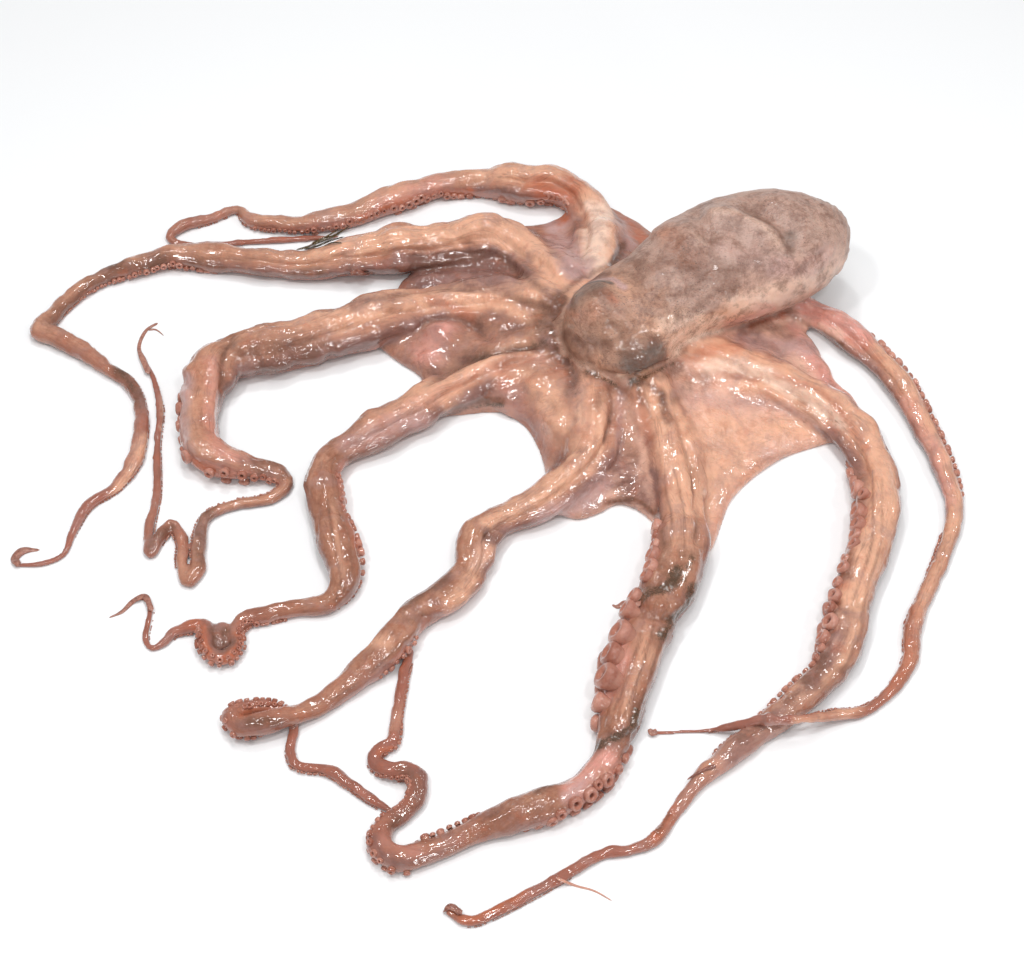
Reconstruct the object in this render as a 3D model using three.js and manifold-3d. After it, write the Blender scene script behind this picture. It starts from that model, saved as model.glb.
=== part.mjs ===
// A whole raw octopus lying mouth down, its arms spread round it and its mantle flopped to one side.
// Millimetres, +Z up. The origin is the middle of the footprint, on the surface it lies on.
import * as THREE from 'three';
import { mergeVertices } from 'three/addons/utils/BufferGeometryUtils.js';
import Module from 'manifold-3d';

const wasm = await Module();
wasm.setup();

// ---- driving dimensions -------------------------------------------------------------------------

// Places are drawn from a mark on the surface in front of the head. The footprint's middle is here.
const FOOTPRINT_MIDDLE = [-18, -10.5];

// The crown is where the eight arms meet under the head.
const CROWN = [62, 98];
const CROWN_RISE = 9;
const CROWN_RISE_RUN = 110;

// How flat an arm lies, and how far its soft underside is pressed in by the surface.
const ARM_FLATNESS = 0.86;
const PRESSED_IN = 1.0;
const ARM_SIDES = 8;
const ARM_RING_STEP = 11;
const RINGS_CROWD_TO_TIP = 1.3;

// Each arm runs through hand-placed waypoints: x, y, width, then how far its sucker side is rolled
// round from straight down (degrees, plus is to the left of the way out) and how far it is lifted.
const ARMS = {
  rear: [
    [60, 124, 26], [54, 158, 26], [56, 184, 26], [53, 210, 25, 20], [45, 232, 26, 45],
    [28, 243, 27, 45], [10, 245, 26, 20], [-21, 250, 18, 20], [-50, 247, 17, 50],
    [-79, 233, 18, 55], [-105, 220, 16, 55], [-134, 212, 11, 50], [-155, 214, 10, 40],
    [-169, 217, 9, 30], [-178, 229, 8, 20], [-196, 220, 8, 20], [-215, 211, 8],
    [-220, 202, 6], [-205, 196, 5], [-170, 199, 5], [-135, 202, 5], [-112, 205, 3],
  ],
  left_rear: [
    [43, 122, 25], [21, 160, 26], [-4, 186, 28], [-36, 187, 32], [-71, 181, 33],
    [-108, 174, 28], [-146, 172, 21], [-185, 178, 18, 20], [-215, 181, 15, 50],
    [-238, 173, 16, 50], [-259, 163, 12, 40], [-273, 149, 11, 30], [-284, 130, 12, 20],
    [-289, 117, 13, 20], [-278, 111, 13, 20], [-262, 101, 12, 30], [-246, 87, 10, 30],
    [-231, 76, 9, 30], [-222, 60, 8, 30], [-218, 38, 9, 30], [-219, 12, 9, 30],
    [-227, -6, 7, 30], [-241, -20, 7, 30], [-247, -40, 5, 30], [-250, -55, 4],
    [-261, -61, 4], [-275, -62, 3],
  ],
  left: [
    [36, 111, 25], [11, 124, 27], [-20, 132, 25], [-51, 131, 24], [-81, 119, 29],
    [-116, 104, 32], [-150, 94, 34], [-172, 85, 29, -15], [-181, 64, 25, -40],
    [-181, 32, 24, -45], [-174, 13, 24, -50], [-157, 6, 21, -55], [-140, 4, 14, -50],
    [-129, -3, 9, -40], [-136, -14, 8, -40], [-158, -20, 8, -40], [-172, -28, 8, -40],
    [-175, -46, 9, -30], [-174, -66, 9, -30], [-178, -74, 8, -30], [-183, -62, 7, 30],
    [-185, -44, 7, 30], [-192, -34, 7, 30], [-197, -43, 7, 30], [-201, -54, 6, -30],
    [-204, -41, 6, -30], [-203, -10, 5, -30], [-207, 25, 4, -30], [-209, 55, 5, -30],
    [-216, 80, 4], [-226, 104, 2.5], [-225, 120, 2], [-220, 127, 2],
  ],
  left_front: [
    [34, 92, 25], [14, 87, 26], [-16, 76, 25], [-44, 57, 25], [-80, 30, 24],
    [-101, 14, 21, 30], [-108, -4, 20, 55], [-104, -27, 23, 60], [-97, -52, 23, 50],
    [-91, -74, 20, 20], [-98, -89, 14], [-115, -93, 11], [-132, -97, 11, 20],
    [-144, -100, 10, 60], [-149, -109, 9, 75, 2], [-147, -119, 9, 75, 2],
    [-154, -127, 9, 75, 2], [-162, -121, 9, 75, 2], [-164, -112, 9, 75, 1],
    [-166, -104, 8, 60], [-174, -105, 8, 30], [-182, -108, 6, 30], [-187, -115, 5],
    [-193, -118, 4], [-197, -112, 4, -30], [-197, -92, 4, -30], [-201, -85, 3.5],
    [-207, -87, 3], [-218, -97, 2],
  ],
  front_left: [
    [52, 74, 25], [49, 42, 26], [46, 14, 25], [35, -5, 26], [12, -26, 24], [-10, -38, 20],
    [-20, -50, 20], [-22, -67, 21, 20], [-32, -85, 21, 20], [-52, -100, 19, 40],
    [-62, -117, 18, 45], [-78, -136, 17, 30], [-99, -155, 13], [-117, -166, 12, 0, 4],
    [-130, -171, 12, 0, 4], [-140, -171, 11, 40, 3], [-145, -165, 10, 80, 3],
    [-138, -159, 10, 110, 2], [-126, -157, 9, 110, 1], [-117, -160, 7, 60],
    [-113, -169, 6], [-114, -182, 5.5, -30], [-110, -191, 6, -40], [-94, -194, 6, -40],
    [-81, -203, 6, -40], [-68, -213, 5, -40], [-57, -219, 3],
  ],
  front: [
    [72, 74, 25], [83, 47, 25], [91, 20, 26], [96, -22, 27], [95, -50, 28, -45],
    [87, -80, 28, -60], [76, -104, 25, -50], [68, -127, 23, -55], [61, -150, 24, -60],
    [55, -170, 22, -40], [50, -185, 18, 30], [44, -197, 17, 60], [30, -210, 18, 60],
    [8, -220, 18, 20], [-14, -229, 15, -50], [-41, -242, 15, -50], [-56, -246, 14, -20],
    [-65, -238, 13, 20], [-63, -227, 11, 50], [-53, -219, 10, 60], [-47, -207, 10, 60],
    [-51, -197, 10, 60], [-62, -195, 9, 45], [-70, -190, 8, 20], [-69, -183, 8, -30],
    [-62, -178, 8, -50], [-60, -160, 7, -50], [-57, -134, 6, -50], [-54, -120, 4],
  ],
  right: [
    [92, 89, 25], [119, 82, 25], [148, 71, 26], [173, 55, 27], [190, 40, 27], [203, 20, 26],
    [209, -4, 25, -30], [207, -27, 24, -60], [198, -56, 22, -60], [183, -94, 22, -60],
    [175, -122, 22, -55], [167, -137, 20, -50], [150, -154, 18, -45], [130, -171, 15, -40],
    [110, -187, 13, -30], [94, -202, 10], [82, -218, 8], [71, -234, 7], [60, -239, 6],
    [45, -242, 6], [20, -257, 7, 30], [-8, -273, 7, 30], [-21, -278, 6, 30], [-30, -273, 5],
  ],
  right_rear: [
    [92, 108, 24], [120, 121, 21], [150, 131, 19], [178, 134, 19], [192, 126, 18],
    [206, 111, 20, 20], [219, 94, 18, 40], [230, 74, 15, 45], [240, 42, 13, 45],
    [249, 2, 12, 45], [251, -22, 11, 10], [243, -48, 9, -30], [228, -80, 9, -30],
    [217, -104, 9, -30], [211, -128, 9, -20], [198, -147, 7, -20], [184, -158, 6, -40],
    [164, -164, 6, -40, 5], [150, -170, 5, -20, 12], [137, -172, 5, 0, 13],
    [126, -171, 5, 0, 12], [114, -170, 4, 0, 5], [97, -170, 3.5], [72, -171, 3],
  ],
};

// The web between the arms: heading round the crown (degrees) and how far its rim reaches there. It
// runs out along each arm and is scooped in between that arm and the next.
const WEB_RIM = [
  [-18, 157], [-13, 142], [-6, 129], [2, 124], [10, 118], [18, 122], [28, 106], [50, 100],
  [70, 108], [80, 116], [88, 134], [94, 142], [99, 136], [104, 127], [112, 123], [120, 130],
  [130, 138], [142, 142], [154, 146], [164, 146], [174, 150], [182, 132], [190, 113],
  [197, 128], [204, 122], [210, 86], [220, 79], [230, 80], [242, 93], [254, 128], [261, 134],
  [266, 117], [272, 115], [278, 128], [284, 166], [290, 156], [296, 133], [304, 125],
  [314, 123], [322, 127], [330, 142], [336, 150],
];
const WEB_RIM_THICKNESS = 5;
const WEB_TOP = 29;
const WEB_SECTORS = 90;

// Head and mantle: one body along a bent axis: x, y, z, half width, half height.
const BODY = [
  [31, 68, 33, 0, 0], [35, 71, 34, 15, 13], [42, 76, 35, 25, 20], [54, 84, 37, 31, 25],
  [70, 96, 38, 33, 27], [87, 109, 39, 33, 29], [105, 123, 41, 37, 31], [128, 137, 42, 41, 33],
  [150, 147, 42, 41, 33], [171, 153, 41, 37, 31], [189, 155, 40, 29, 26],
  [200, 154, 38, 18, 18], [207, 153, 38, 0, 0],
];
const BODY_SIDES = 20;
const BODY_RINGS = 20;

const EYE_RADIUS = 11;
const EYES = [
  [46, 104, 44],
  [78, 61, 42],
];

// Suckers stand in two rows on the sucker side. The large ones of the upper row are solid, where the
// arm is rolled so far that they show.
const SUCKER_MIN_ARM_WIDTH = 17;
const SUCKER_MIN_ROLL = 38;
const SUCKER_TO_ARM = 0.4;
const SUCKER_PITCH = 2.3;
const SUCKER_ROW_ANGLE = 27;
const SUCKER_SEAT = 0.5;
const SUCKER_CLEARANCE = 1.25;
const SUCKER_SIDES = 6;
const SUCKER_PROFILE = [[0, -0.9], [1, 0.5], [0.62, 0.62], [0, 0.2]];

const SKIN = new THREE.MeshStandardMaterial({ color: 0xb98a76, roughness: 0.35, metalness: 0 });

// ---- tools --------------------------------------------------------------------------------------

const UP = new THREE.Vector3(0, 0, 1);
const FINE = 1e-4;

function toSolid(geometry) {
  const bare = geometry.clone();
  bare.deleteAttribute('normal');
  bare.deleteAttribute('uv');
  const joined = mergeVertices(bare, FINE);
  return new wasm.Manifold(new wasm.Mesh({
    numProp: 3,
    vertProperties: new Float32Array(joined.attributes.position.array),
    triVerts: new Uint32Array(joined.index.array),
  }));
}

function toGeometry(solid) {
  const mesh = solid.getMesh();
  const geometry = new THREE.BufferGeometry();
  geometry.setAttribute('position', new THREE.BufferAttribute(mesh.vertProperties, 3));
  geometry.setIndex(new THREE.BufferAttribute(mesh.triVerts, 1));
  geometry.computeVertexNormals();
  return geometry;
}

function smooth(edge0, edge1, value) {
  const t = THREE.MathUtils.clamp((value - edge0) / (edge1 - edge0), 0, 1);
  return t * t * (3 - 2 * t);
}

// ---- arms ---------------------------------------------------------------------------------------

class Arm {
  constructor(waypoints) {
    this.rows = waypoints.map(([x, y, width, roll = 0, lift = 0]) => ({ x, y, width, roll, lift }));
    const points = this.rows.map((row) => new THREE.Vector3(row.x, row.y, 0));
    this.route = new THREE.CatmullRomCurve3(points, false, 'centripetal');
    this.route.arcLengthDivisions = 600;
    this.length = this.route.getLength();
  }

  value(name, t) {
    const along = t * (this.rows.length - 1);
    const index = Math.min(Math.floor(along), this.rows.length - 2);
    return THREE.MathUtils.lerp(this.rows[index][name], this.rows[index + 1][name], along - index);
  }

  // Where the arm is at a share u of its length: its middle, its width and its own three directions.
  section(u) {
    const t = this.route.getUtoTmapping(u, 0);
    const width = this.value('width', t);
    const rise = CROWN_RISE * (1 - smooth(0, CROWN_RISE_RUN, u * this.length));
    const middle = this.route.getPoint(t);
    middle.z = width * ARM_FLATNESS / 2 - PRESSED_IN + rise + this.value('lift', t);
    const out = this.route.getTangent(t);
    const left = new THREE.Vector3().crossVectors(UP, out).normalize();
    const roll = THREE.MathUtils.degToRad(this.value('roll', t));
    const back = UP.clone().multiplyScalar(Math.cos(roll)).addScaledVector(left, -Math.sin(roll));
    const side = new THREE.Vector3().crossVectors(out, back).negate();
    return { middle, width, roll, out, left, back, side };
  }

  geometry() {
    const rings = Math.round(this.length / ARM_RING_STEP);
    const geometry = new THREE.SphereGeometry(1, ARM_SIDES, rings);
    const { position, uv } = geometry.attributes;
    const point = new THREE.Vector3();
    for (let i = 0; i < position.count; i += 1) {
      const fromTip = uv.getY(i);
      const { middle, width, left } = this.section(1 - fromTip ** RINGS_CROWD_TO_TIP);
      const radius = fromTip === 0 || fromTip === 1 ? 0 : width / 2;
      const turn = 2 * Math.PI * uv.getX(i);
      point.copy(middle).addScaledVector(left, radius * Math.cos(turn));
      point.z -= radius * ARM_FLATNESS * Math.sin(turn);
      position.setXYZ(i, point.x, point.y, Math.max(point.z, 0));
    }
    return geometry;
  }

  suckers() {
    const found = [];
    let along = 0;
    while (along < this.length) {
      const { middle, width, roll, back, out } = this.section(along / this.length);
      const radius = width * SUCKER_TO_ARM / 2;
      const shows = Math.abs(roll) > THREE.MathUtils.degToRad(SUCKER_MIN_ROLL);
      if (shows && width > SUCKER_MIN_ARM_WIDTH) {
        const turn = THREE.MathUtils.degToRad(SUCKER_ROW_ANGLE) * Math.sign(roll);
        const facing = back.clone().negate().applyAxisAngle(out, turn);
        const geometry = new THREE.LatheGeometry(
          SUCKER_PROFILE.map(([x, y]) => new THREE.Vector2(x * radius, y * radius)), SUCKER_SIDES);
        const seat = middle.clone().addScaledVector(facing, width * SUCKER_SEAT);
        geometry.applyQuaternion(
          new THREE.Quaternion().setFromUnitVectors(new THREE.Vector3(0, 1, 0), facing));
        geometry.translate(seat.x, seat.y, Math.max(seat.z, radius * SUCKER_CLEARANCE));
        found.push(geometry);
      }
      along += radius * SUCKER_PITCH;
    }
    return found;
  }
}

// ---- web, head and mantle -----------------------------------------------------------------------

function webReach(degrees) {
  const [first] = WEB_RIM[0];
  const turn = (degrees - first + 720) % 360 + first;
  const index = WEB_RIM.findLastIndex(([heading]) => heading <= turn);
  const [heading, reach] = WEB_RIM[index];
  const last = index === WEB_RIM.length - 1;
  const [nextHeading, nextReach] = last ? [first + 360, WEB_RIM[0][1]] : WEB_RIM[index + 1];
  return THREE.MathUtils.lerp(reach, nextReach, (turn - heading) / (nextHeading - heading));
}

function webGeometry() {
  const profile = [[0, 0], [1, 0], [1, WEB_RIM_THICKNESS]];
  for (const share of [0.6, 0]) {
    profile.push([share, WEB_RIM_THICKNESS + (WEB_TOP - WEB_RIM_THICKNESS) * (1 - share)]);
  }
  const geometry = new THREE.LatheGeometry(profile.map(([x, y]) => new THREE.Vector2(x, y)), WEB_SECTORS);
  geometry.rotateX(Math.PI / 2);
  const { position } = geometry.attributes;
  for (let i = 0; i < position.count; i += 1) {
    const heading = THREE.MathUtils.radToDeg(Math.atan2(position.getY(i), position.getX(i)));
    const reach = webReach(heading);
    position.setX(i, CROWN[0] + position.getX(i) * reach);
    position.setY(i, CROWN[1] + position.getY(i) * reach);
  }
  return geometry;
}

function bodyGeometry() {
  const axis = new THREE.CatmullRomCurve3(BODY.map(([x, y, z]) => new THREE.Vector3(x, y, z)));
  const halves = new THREE.CatmullRomCurve3(BODY.map((row) => new THREE.Vector3(row[3], row[4], 0)));
  const geometry = new THREE.SphereGeometry(1, BODY_SIDES, BODY_RINGS);
  const { position, uv } = geometry.attributes;
  for (let i = 0; i < position.count; i += 1) {
    const t = 1 - uv.getY(i);
    const point = axis.getPoint(t);
    const half = halves.getPoint(t);
    const left = new THREE.Vector3().crossVectors(UP, axis.getTangent(t)).normalize();
    const turn = 2 * Math.PI * uv.getX(i);
    point.addScaledVector(left, half.x * Math.cos(turn));
    point.z -= half.y * Math.sin(turn);
    position.setXYZ(i, point.x, point.y, point.z);
  }
  return geometry;
}

function eyeGeometry([x, y, z]) {
  return new THREE.SphereGeometry(EYE_RADIUS, 12, 8).translate(x, y, z);
}

// ---- the whole animal ---------------------------------------------------------------------------

const arms = Object.values(ARMS).map((waypoints) => new Arm(waypoints));
const pieces = [webGeometry(), bodyGeometry(), ...EYES.map(eyeGeometry)];
for (const arm of arms) {
  pieces.push(arm.geometry(), ...arm.suckers());
}
const whole = pieces.map(toSolid).reduce((sum, solid) => sum.add(solid));

const octopus = new THREE.Mesh(toGeometry(whole), SKIN);
octopus.name = 'octopus';
octopus.position.set(-FOOTPRINT_MIDDLE[0], -FOOTPRINT_MIDDLE[1], 0);

const part = new THREE.Group();
part.add(octopus);
export default part;
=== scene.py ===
"""A whole raw octopus: wet skin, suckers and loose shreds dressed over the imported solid.

The soft skin is worked out as a distance field in drawing millimetres, turned into one closed mesh,
creased and tinted by named rules, and moved into the frame's metres.
"""
import logging
import math
from dataclasses import dataclass, field
from enum import Enum, IntEnum
from typing import Any, Sequence

import bpy
import numpy as np
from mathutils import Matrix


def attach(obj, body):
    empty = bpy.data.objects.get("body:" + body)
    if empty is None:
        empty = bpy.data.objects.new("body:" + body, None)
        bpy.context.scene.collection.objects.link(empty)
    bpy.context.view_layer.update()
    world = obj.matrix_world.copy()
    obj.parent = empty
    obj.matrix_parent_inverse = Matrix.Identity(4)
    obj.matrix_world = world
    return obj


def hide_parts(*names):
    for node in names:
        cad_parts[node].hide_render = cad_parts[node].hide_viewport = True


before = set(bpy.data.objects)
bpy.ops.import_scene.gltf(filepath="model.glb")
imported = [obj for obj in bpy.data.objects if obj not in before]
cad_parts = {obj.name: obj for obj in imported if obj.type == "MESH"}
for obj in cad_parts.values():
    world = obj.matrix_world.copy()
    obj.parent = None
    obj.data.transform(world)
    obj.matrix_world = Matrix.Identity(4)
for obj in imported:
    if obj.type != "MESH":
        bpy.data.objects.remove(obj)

import openvdb
from mathutils import Vector

Array = np.ndarray
Waypoint = tuple[float, ...]
Colour = tuple[float, float, float, float]
Pair = tuple[float, float]
Triple = tuple[float, float, float]
Line = tuple[Pair, ...]
Window = tuple[slice, slice, slice]
Row = tuple[Any, ...]

log = logging.getLogger("octopus")

NODE = "octopus"
BODY_NAME = "root"

MM = 0.001
FOOTPRINT_MIDDLE = (-18.0, -10.5, 0.0)
CROWN = (62.0, 98.0)
CROWN_RISE = 9.0
CROWN_RISE_RUN = 110.0
ARM_FLATNESS = 0.86
PRESSED_IN = 1.0

# Each arm runs through waypoints: x, y, width, then how far its sucker side is rolled
# round from straight down (degrees, plus is to the left of the way out) and how far it is lifted.
REAR_ARM: tuple[Waypoint, ...] = (
    (60, 124, 26), (54, 158, 26), (56, 184, 26), (53, 210, 25, 20), (45, 232, 26, 45),
    (28, 243, 27, 45), (10, 245, 26, 20), (-21, 250, 18, 20), (-50, 247, 17, 50),
    (-79, 233, 18, 55), (-105, 220, 16, 55), (-134, 212, 11, 50), (-155, 214, 10, 40),
    (-169, 217, 9, 30), (-178, 229, 8, 20), (-196, 220, 8, 20), (-215, 211, 8),
    (-220, 202, 6), (-205, 196, 5), (-170, 199, 5), (-135, 202, 5), (-112, 205, 3),
)
LEFT_REAR_ARM: tuple[Waypoint, ...] = (
    (43, 122, 25), (21, 160, 26), (-4, 186, 28), (-36, 187, 32), (-71, 181, 33),
    (-108, 174, 28), (-146, 172, 21), (-185, 178, 18, 20), (-215, 181, 15, 50),
    (-238, 173, 16, 50), (-259, 163, 12, 40), (-273, 149, 11, 30), (-284, 130, 12, 20),
    (-289, 117, 13, 20), (-278, 111, 13, 20), (-262, 101, 12, 30), (-246, 87, 10, 30),
    (-231, 76, 9, 30), (-222, 60, 8, 30), (-218, 38, 9, 30), (-219, 12, 9, 30),
    (-227, -6, 7, 30), (-241, -20, 7, 30), (-247, -40, 5, 30), (-250, -55, 4),
    (-261, -61, 4), (-275, -62, 3),
)
LEFT_ARM: tuple[Waypoint, ...] = (
    (36, 111, 25), (11, 124, 27), (-20, 132, 25), (-51, 131, 24), (-81, 119, 29),
    (-116, 104, 32), (-150, 94, 34), (-172, 85, 29, -15), (-181, 64, 25, -40),
    (-181, 32, 24, -45), (-174, 13, 24, -50), (-157, 6, 21, -55), (-140, 4, 14, -50),
    (-129, -3, 9, -40), (-136, -14, 8, -40), (-158, -20, 8, -40), (-172, -28, 8, -40),
    (-175, -46, 9, -30), (-174, -66, 9, -30), (-178, -74, 8, -30), (-183, -62, 7, 30),
    (-185, -44, 7, 30), (-192, -34, 7, 30), (-197, -43, 7, 30), (-201, -54, 6, -30),
    (-204, -41, 6, -30), (-203, -10, 5, -30), (-207, 25, 4, -30), (-209, 55, 5, -30),
    (-216, 80, 4), (-226, 104, 2.5), (-225, 120, 2), (-220, 127, 2),
)
LEFT_FRONT_ARM: tuple[Waypoint, ...] = (
    (34, 92, 25), (14, 87, 26), (-16, 76, 25), (-44, 57, 25), (-80, 30, 24),
    (-101, 14, 21, 30), (-108, -4, 20, 55), (-104, -27, 23, 60), (-97, -52, 23, 50),
    (-91, -74, 20, 20), (-98, -89, 14), (-115, -93, 11), (-132, -97, 11, 20),
    (-144, -100, 10, 60), (-149, -109, 9, 75, 2), (-147, -119, 9, 75, 2),
    (-154, -127, 9, 75, 2), (-162, -121, 9, 75, 2), (-164, -112, 9, 75, 1),
    (-166, -104, 8, 60), (-174, -105, 8, 30), (-182, -108, 6, 30), (-187, -115, 5),
    (-193, -118, 4), (-197, -112, 4, -30), (-197, -92, 4, -30), (-201, -85, 3.5),
    (-207, -87, 3), (-218, -97, 2),
)
FRONT_LEFT_ARM: tuple[Waypoint, ...] = (
    (52, 74, 25), (49, 42, 26), (46, 14, 25), (35, -5, 26), (12, -26, 24), (-10, -38, 20),
    (-20, -50, 20), (-22, -67, 21, 20), (-32, -85, 21, 20), (-52, -100, 19, 40),
    (-62, -117, 18, 45), (-78, -136, 17, 30), (-99, -155, 13), (-117, -166, 12, 0, 4),
    (-130, -171, 12, 0, 4), (-140, -171, 11, 40, 3), (-145, -165, 10, 80, 3),
    (-138, -159, 10, 110, 2), (-126, -157, 9, 110, 1), (-117, -160, 7, 60),
    (-113, -169, 6), (-114, -182, 5.5, -30), (-110, -191, 6, -40), (-94, -194, 6, -40),
    (-81, -203, 6, -40), (-68, -213, 5, -40), (-57, -219, 3),
)
FRONT_ARM: tuple[Waypoint, ...] = (
    (72, 74, 25), (83, 47, 25), (91, 20, 26), (96, -22, 27), (95, -50, 28, -45),
    (87, -80, 28, -60), (76, -104, 25, -50), (68, -127, 23, -55), (61, -150, 24, -60),
    (55, -170, 22, -40), (50, -185, 18, 30), (44, -197, 17, 60), (30, -210, 18, 60),
    (8, -220, 18, 20), (-14, -229, 15, -50), (-41, -242, 15, -40), (-56, -246, 14, 45),
    (-65, -238, 13, 70), (-63, -227, 11, 65), (-53, -219, 10, 60), (-47, -207, 10, 60),
    (-51, -197, 10, 60), (-62, -195, 9, 45), (-70, -190, 8, 20), (-69, -183, 8, -30),
    (-62, -178, 8, -50), (-60, -160, 7, -50), (-57, -134, 6, -50), (-54, -120, 4),
)
RIGHT_ARM: tuple[Waypoint, ...] = (
    (92, 89, 25), (119, 82, 25), (148, 71, 26), (173, 55, 27), (190, 40, 27), (203, 20, 26),
    (209, -4, 25, -30), (207, -27, 24, -60), (198, -56, 22, -60), (183, -94, 22, -60),
    (175, -122, 22, -55), (167, -137, 20, -50), (150, -154, 18, -45), (130, -171, 15, -40),
    (110, -187, 13, -30), (94, -202, 10), (82, -218, 8), (71, -234, 7), (60, -239, 6),
    (45, -242, 6), (20, -257, 7, 30), (-8, -273, 7, 30), (-21, -278, 6, 30), (-30, -273, 5),
)
RIGHT_REAR_ARM: tuple[Waypoint, ...] = (
    (92, 108, 24), (120, 121, 21), (150, 131, 19), (178, 134, 19), (192, 126, 18),
    (206, 111, 20, 20), (219, 94, 18, 40), (230, 74, 15, 45), (240, 42, 13, 45),
    (249, 2, 12, 45), (251, -22, 11, 10), (243, -48, 9, -30), (228, -80, 9, -30),
    (217, -104, 9, -30), (211, -128, 9, -20), (198, -147, 7, -20), (184, -158, 6, -40),
    (164, -164, 6, -40, 5), (150, -170, 5, -20, 12), (137, -172, 5, 0, 13),
    (126, -171, 5, 0, 12), (114, -170, 4, 0, 5), (97, -170, 3.5), (72, -171, 3),
)

# How the suckers of each arm change: distance from the crown, size, how much further they roll.
REAR_SUCKERS = ((0, 0.5, 0), (150, 0.5, 0), (180, 0.7, -14), (320, 0.7, -14), (360, 0.6, 0))
LEFT_REAR_SUCKERS = ((0, 0, 0), (255, 0, 0), (270, 0.62, -16), (345, 0.62, -16), (360, 0.3, 0),
                     (430, 0.5, 0), (560, 0.55, 0), (600, 0.3, 0))
LEFT_SUCKERS = ((0, 0, 0), (215, 0, 0), (225, 0.75, 14), (290, 0.7, 14), (300, 0.95, 10),
                (330, 0.8, 10), (345, 0.5, 0))
LEFT_FRONT_SUCKERS = ((0, 0, 0), (175, 0, 0), (185, 0.5, 0), (245, 0.5, 0), (255, 0.3, 0),
                      (300, 0.55, 0), (315, 0.85, 0), (372, 0.85, 0), (385, 0.5, 0))
FRONT_LEFT_SUCKERS = ((0, 0, 0), (228, 0, 0), (234, 0.5, 0), (256, 0.5, 0), (262, 0, 0),
                      (322, 0, 0), (330, 0.8, 0), (373, 0.8, 0), (385, 0.6, 0))
FRONT_SUCKERS = ((0, 0.7, 0), (160, 0.75, 0), (188, 1.3, -12), (238, 1.35, -12), (254, 0.9, 0),
                 (300, 1.0, 0), (330, 0.7, 0), (400, 0.7, 0), (432, 0.65, 0), (560, 0.6, 0))
RIGHT_SUCKERS = ((0, 0.9, 0), (200, 1.0, 0), (285, 1.05, -8), (305, 0.6, 0), (376, 0.5, 0),
                 (390, 0.35, 0), (560, 0.3, 0))
RIGHT_REAR_SUCKERS = ((0, 0.8, 0), (260, 0.85, 0), (300, 0.7, 0), (560, 0.6, 0))

# How far the web reaches from the crown: heading in degrees, reach in millimetres.
WEB_RIM: Line = (
    (-18, 157), (-13, 142), (-6, 129), (2, 124), (10, 118), (18, 122), (28, 106), (50, 100),
    (70, 108), (80, 116), (88, 134), (94, 142), (99, 136), (104, 127), (112, 123), (120, 130),
    (130, 138), (142, 142), (154, 146), (164, 146), (174, 150), (182, 132), (190, 113),
    (197, 128), (204, 122), (210, 86), (220, 79), (230, 80), (242, 93), (254, 128), (261, 134),
    (266, 117), (272, 115), (278, 128), (284, 166), (290, 156), (296, 133), (304, 125),
    (314, 123), (322, 127), (330, 142), (336, 150),
)
WEB_RIM_THICKNESS = 5.0
WEB_TOP = 29.0

BODY_CAP = 0.25
BODY_SAMPLES = 16
BODY_STEP = 3.0
BODY_THINNEST = 0.4
# Head front to mantle end: x, y, z, half width, half height.
BODY_LINE: tuple[Waypoint, ...] = (
    (35, 70, 33, 0, 0), (39, 73, 34, 15, 13), (46, 78, 35, 25, 20), (56, 85, 37, 31, 25),
    (70, 96, 38, 33, 27), (87, 109, 39, 33, 29), (105, 123, 41, 37, 31), (128, 137, 42, 41, 33),
    (150, 147, 42, 41, 33), (171, 153, 41, 37, 31), (189, 155, 40, 29, 26),
    (200, 154, 38, 18, 18), (207, 153, 38, 0, 0),
)

# The distance field in drawing millimetres: its corners, its cells, how far distances are kept and
# worked out, and where the crown's wide fillets give way to narrow ones.
FIELD_LOW = (-304.0, -294.0, -4.0)
FIELD_HIGH = (268.0, 272.0, 82.0)
CELL = 1.2
FAR = 30.0
BAND = 5.0
CROWN_BAND = 16.0
CROWN_NEAR = 95.0
CROWN_PAST = 165.0

UP = (0.0, 0.0, 1.0)
FULL_TURN = 2 * math.pi

# What keeps a division from zero, and how far small pieces are kept above the floor, in millimetres.
TINY = 1e-6
TINIEST = 1e-12
JUST_ABOVE = 0.02


class Seed(IntEnum):
    """Starting numbers of what is drawn at random, one for each use."""

    SEATS = 3
    FLANKS = 5
    LUMPS = 11
    SWELLS = 12
    KNOBS = 13
    PIMPLES = 14
    TIP_LUMPS = 15
    FOLD_WANDER = 21
    FOLD_LINES = 22
    FOLD_FINE = 23
    FOLD_PATCHES = 24
    BEND_WANDER = 31
    NET_WANDER = 33
    NET = 34
    FINE_NET = 35
    NET_PATCHES = 36
    RAGGED = 41
    ARM_WIDTH = 61
    ARM_FLATNESS = 62
    STRIPS = 71


# ---- small tools ---------------------------------------------------------------------------------


def srgb(red: float, green: float, blue: float) -> Colour:
    """Turns a 0-255 display colour into the linear colour that shaders use."""
    linear = [(c / 255 / 12.92) if c < 10.3 else ((c / 255 + 0.055) / 1.055) ** 2.4
              for c in (red, green, blue)]
    return (linear[0], linear[1], linear[2], 1.0)


def smooth(low: float, high: float, value: Array | float) -> Array:
    """Rises smoothly from 0 at low to 1 at high."""
    share = np.clip((np.asarray(value, float) - low) / (high - low), 0, 1)
    return share * share * (3 - 2 * share)


def smooth_min(first: Array, second: Array, blend: Array | float) -> Array:
    """Joins two distances with a fillet.

    Args:
        first: Distance to the first form.
        second: Distance to the second form.
        blend: Width over which the two run together.

    Returns:
        The joined distance.
    """
    near = np.maximum(blend - np.abs(first - second), 0) / blend
    return np.minimum(first, second) - near * near * blend * 0.25


def to_frame(points: Array) -> Array:
    """Moves points from drawing millimetres to the frame's metres."""
    return (points - np.array(FOOTPRINT_MIDDLE)) * MM


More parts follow.
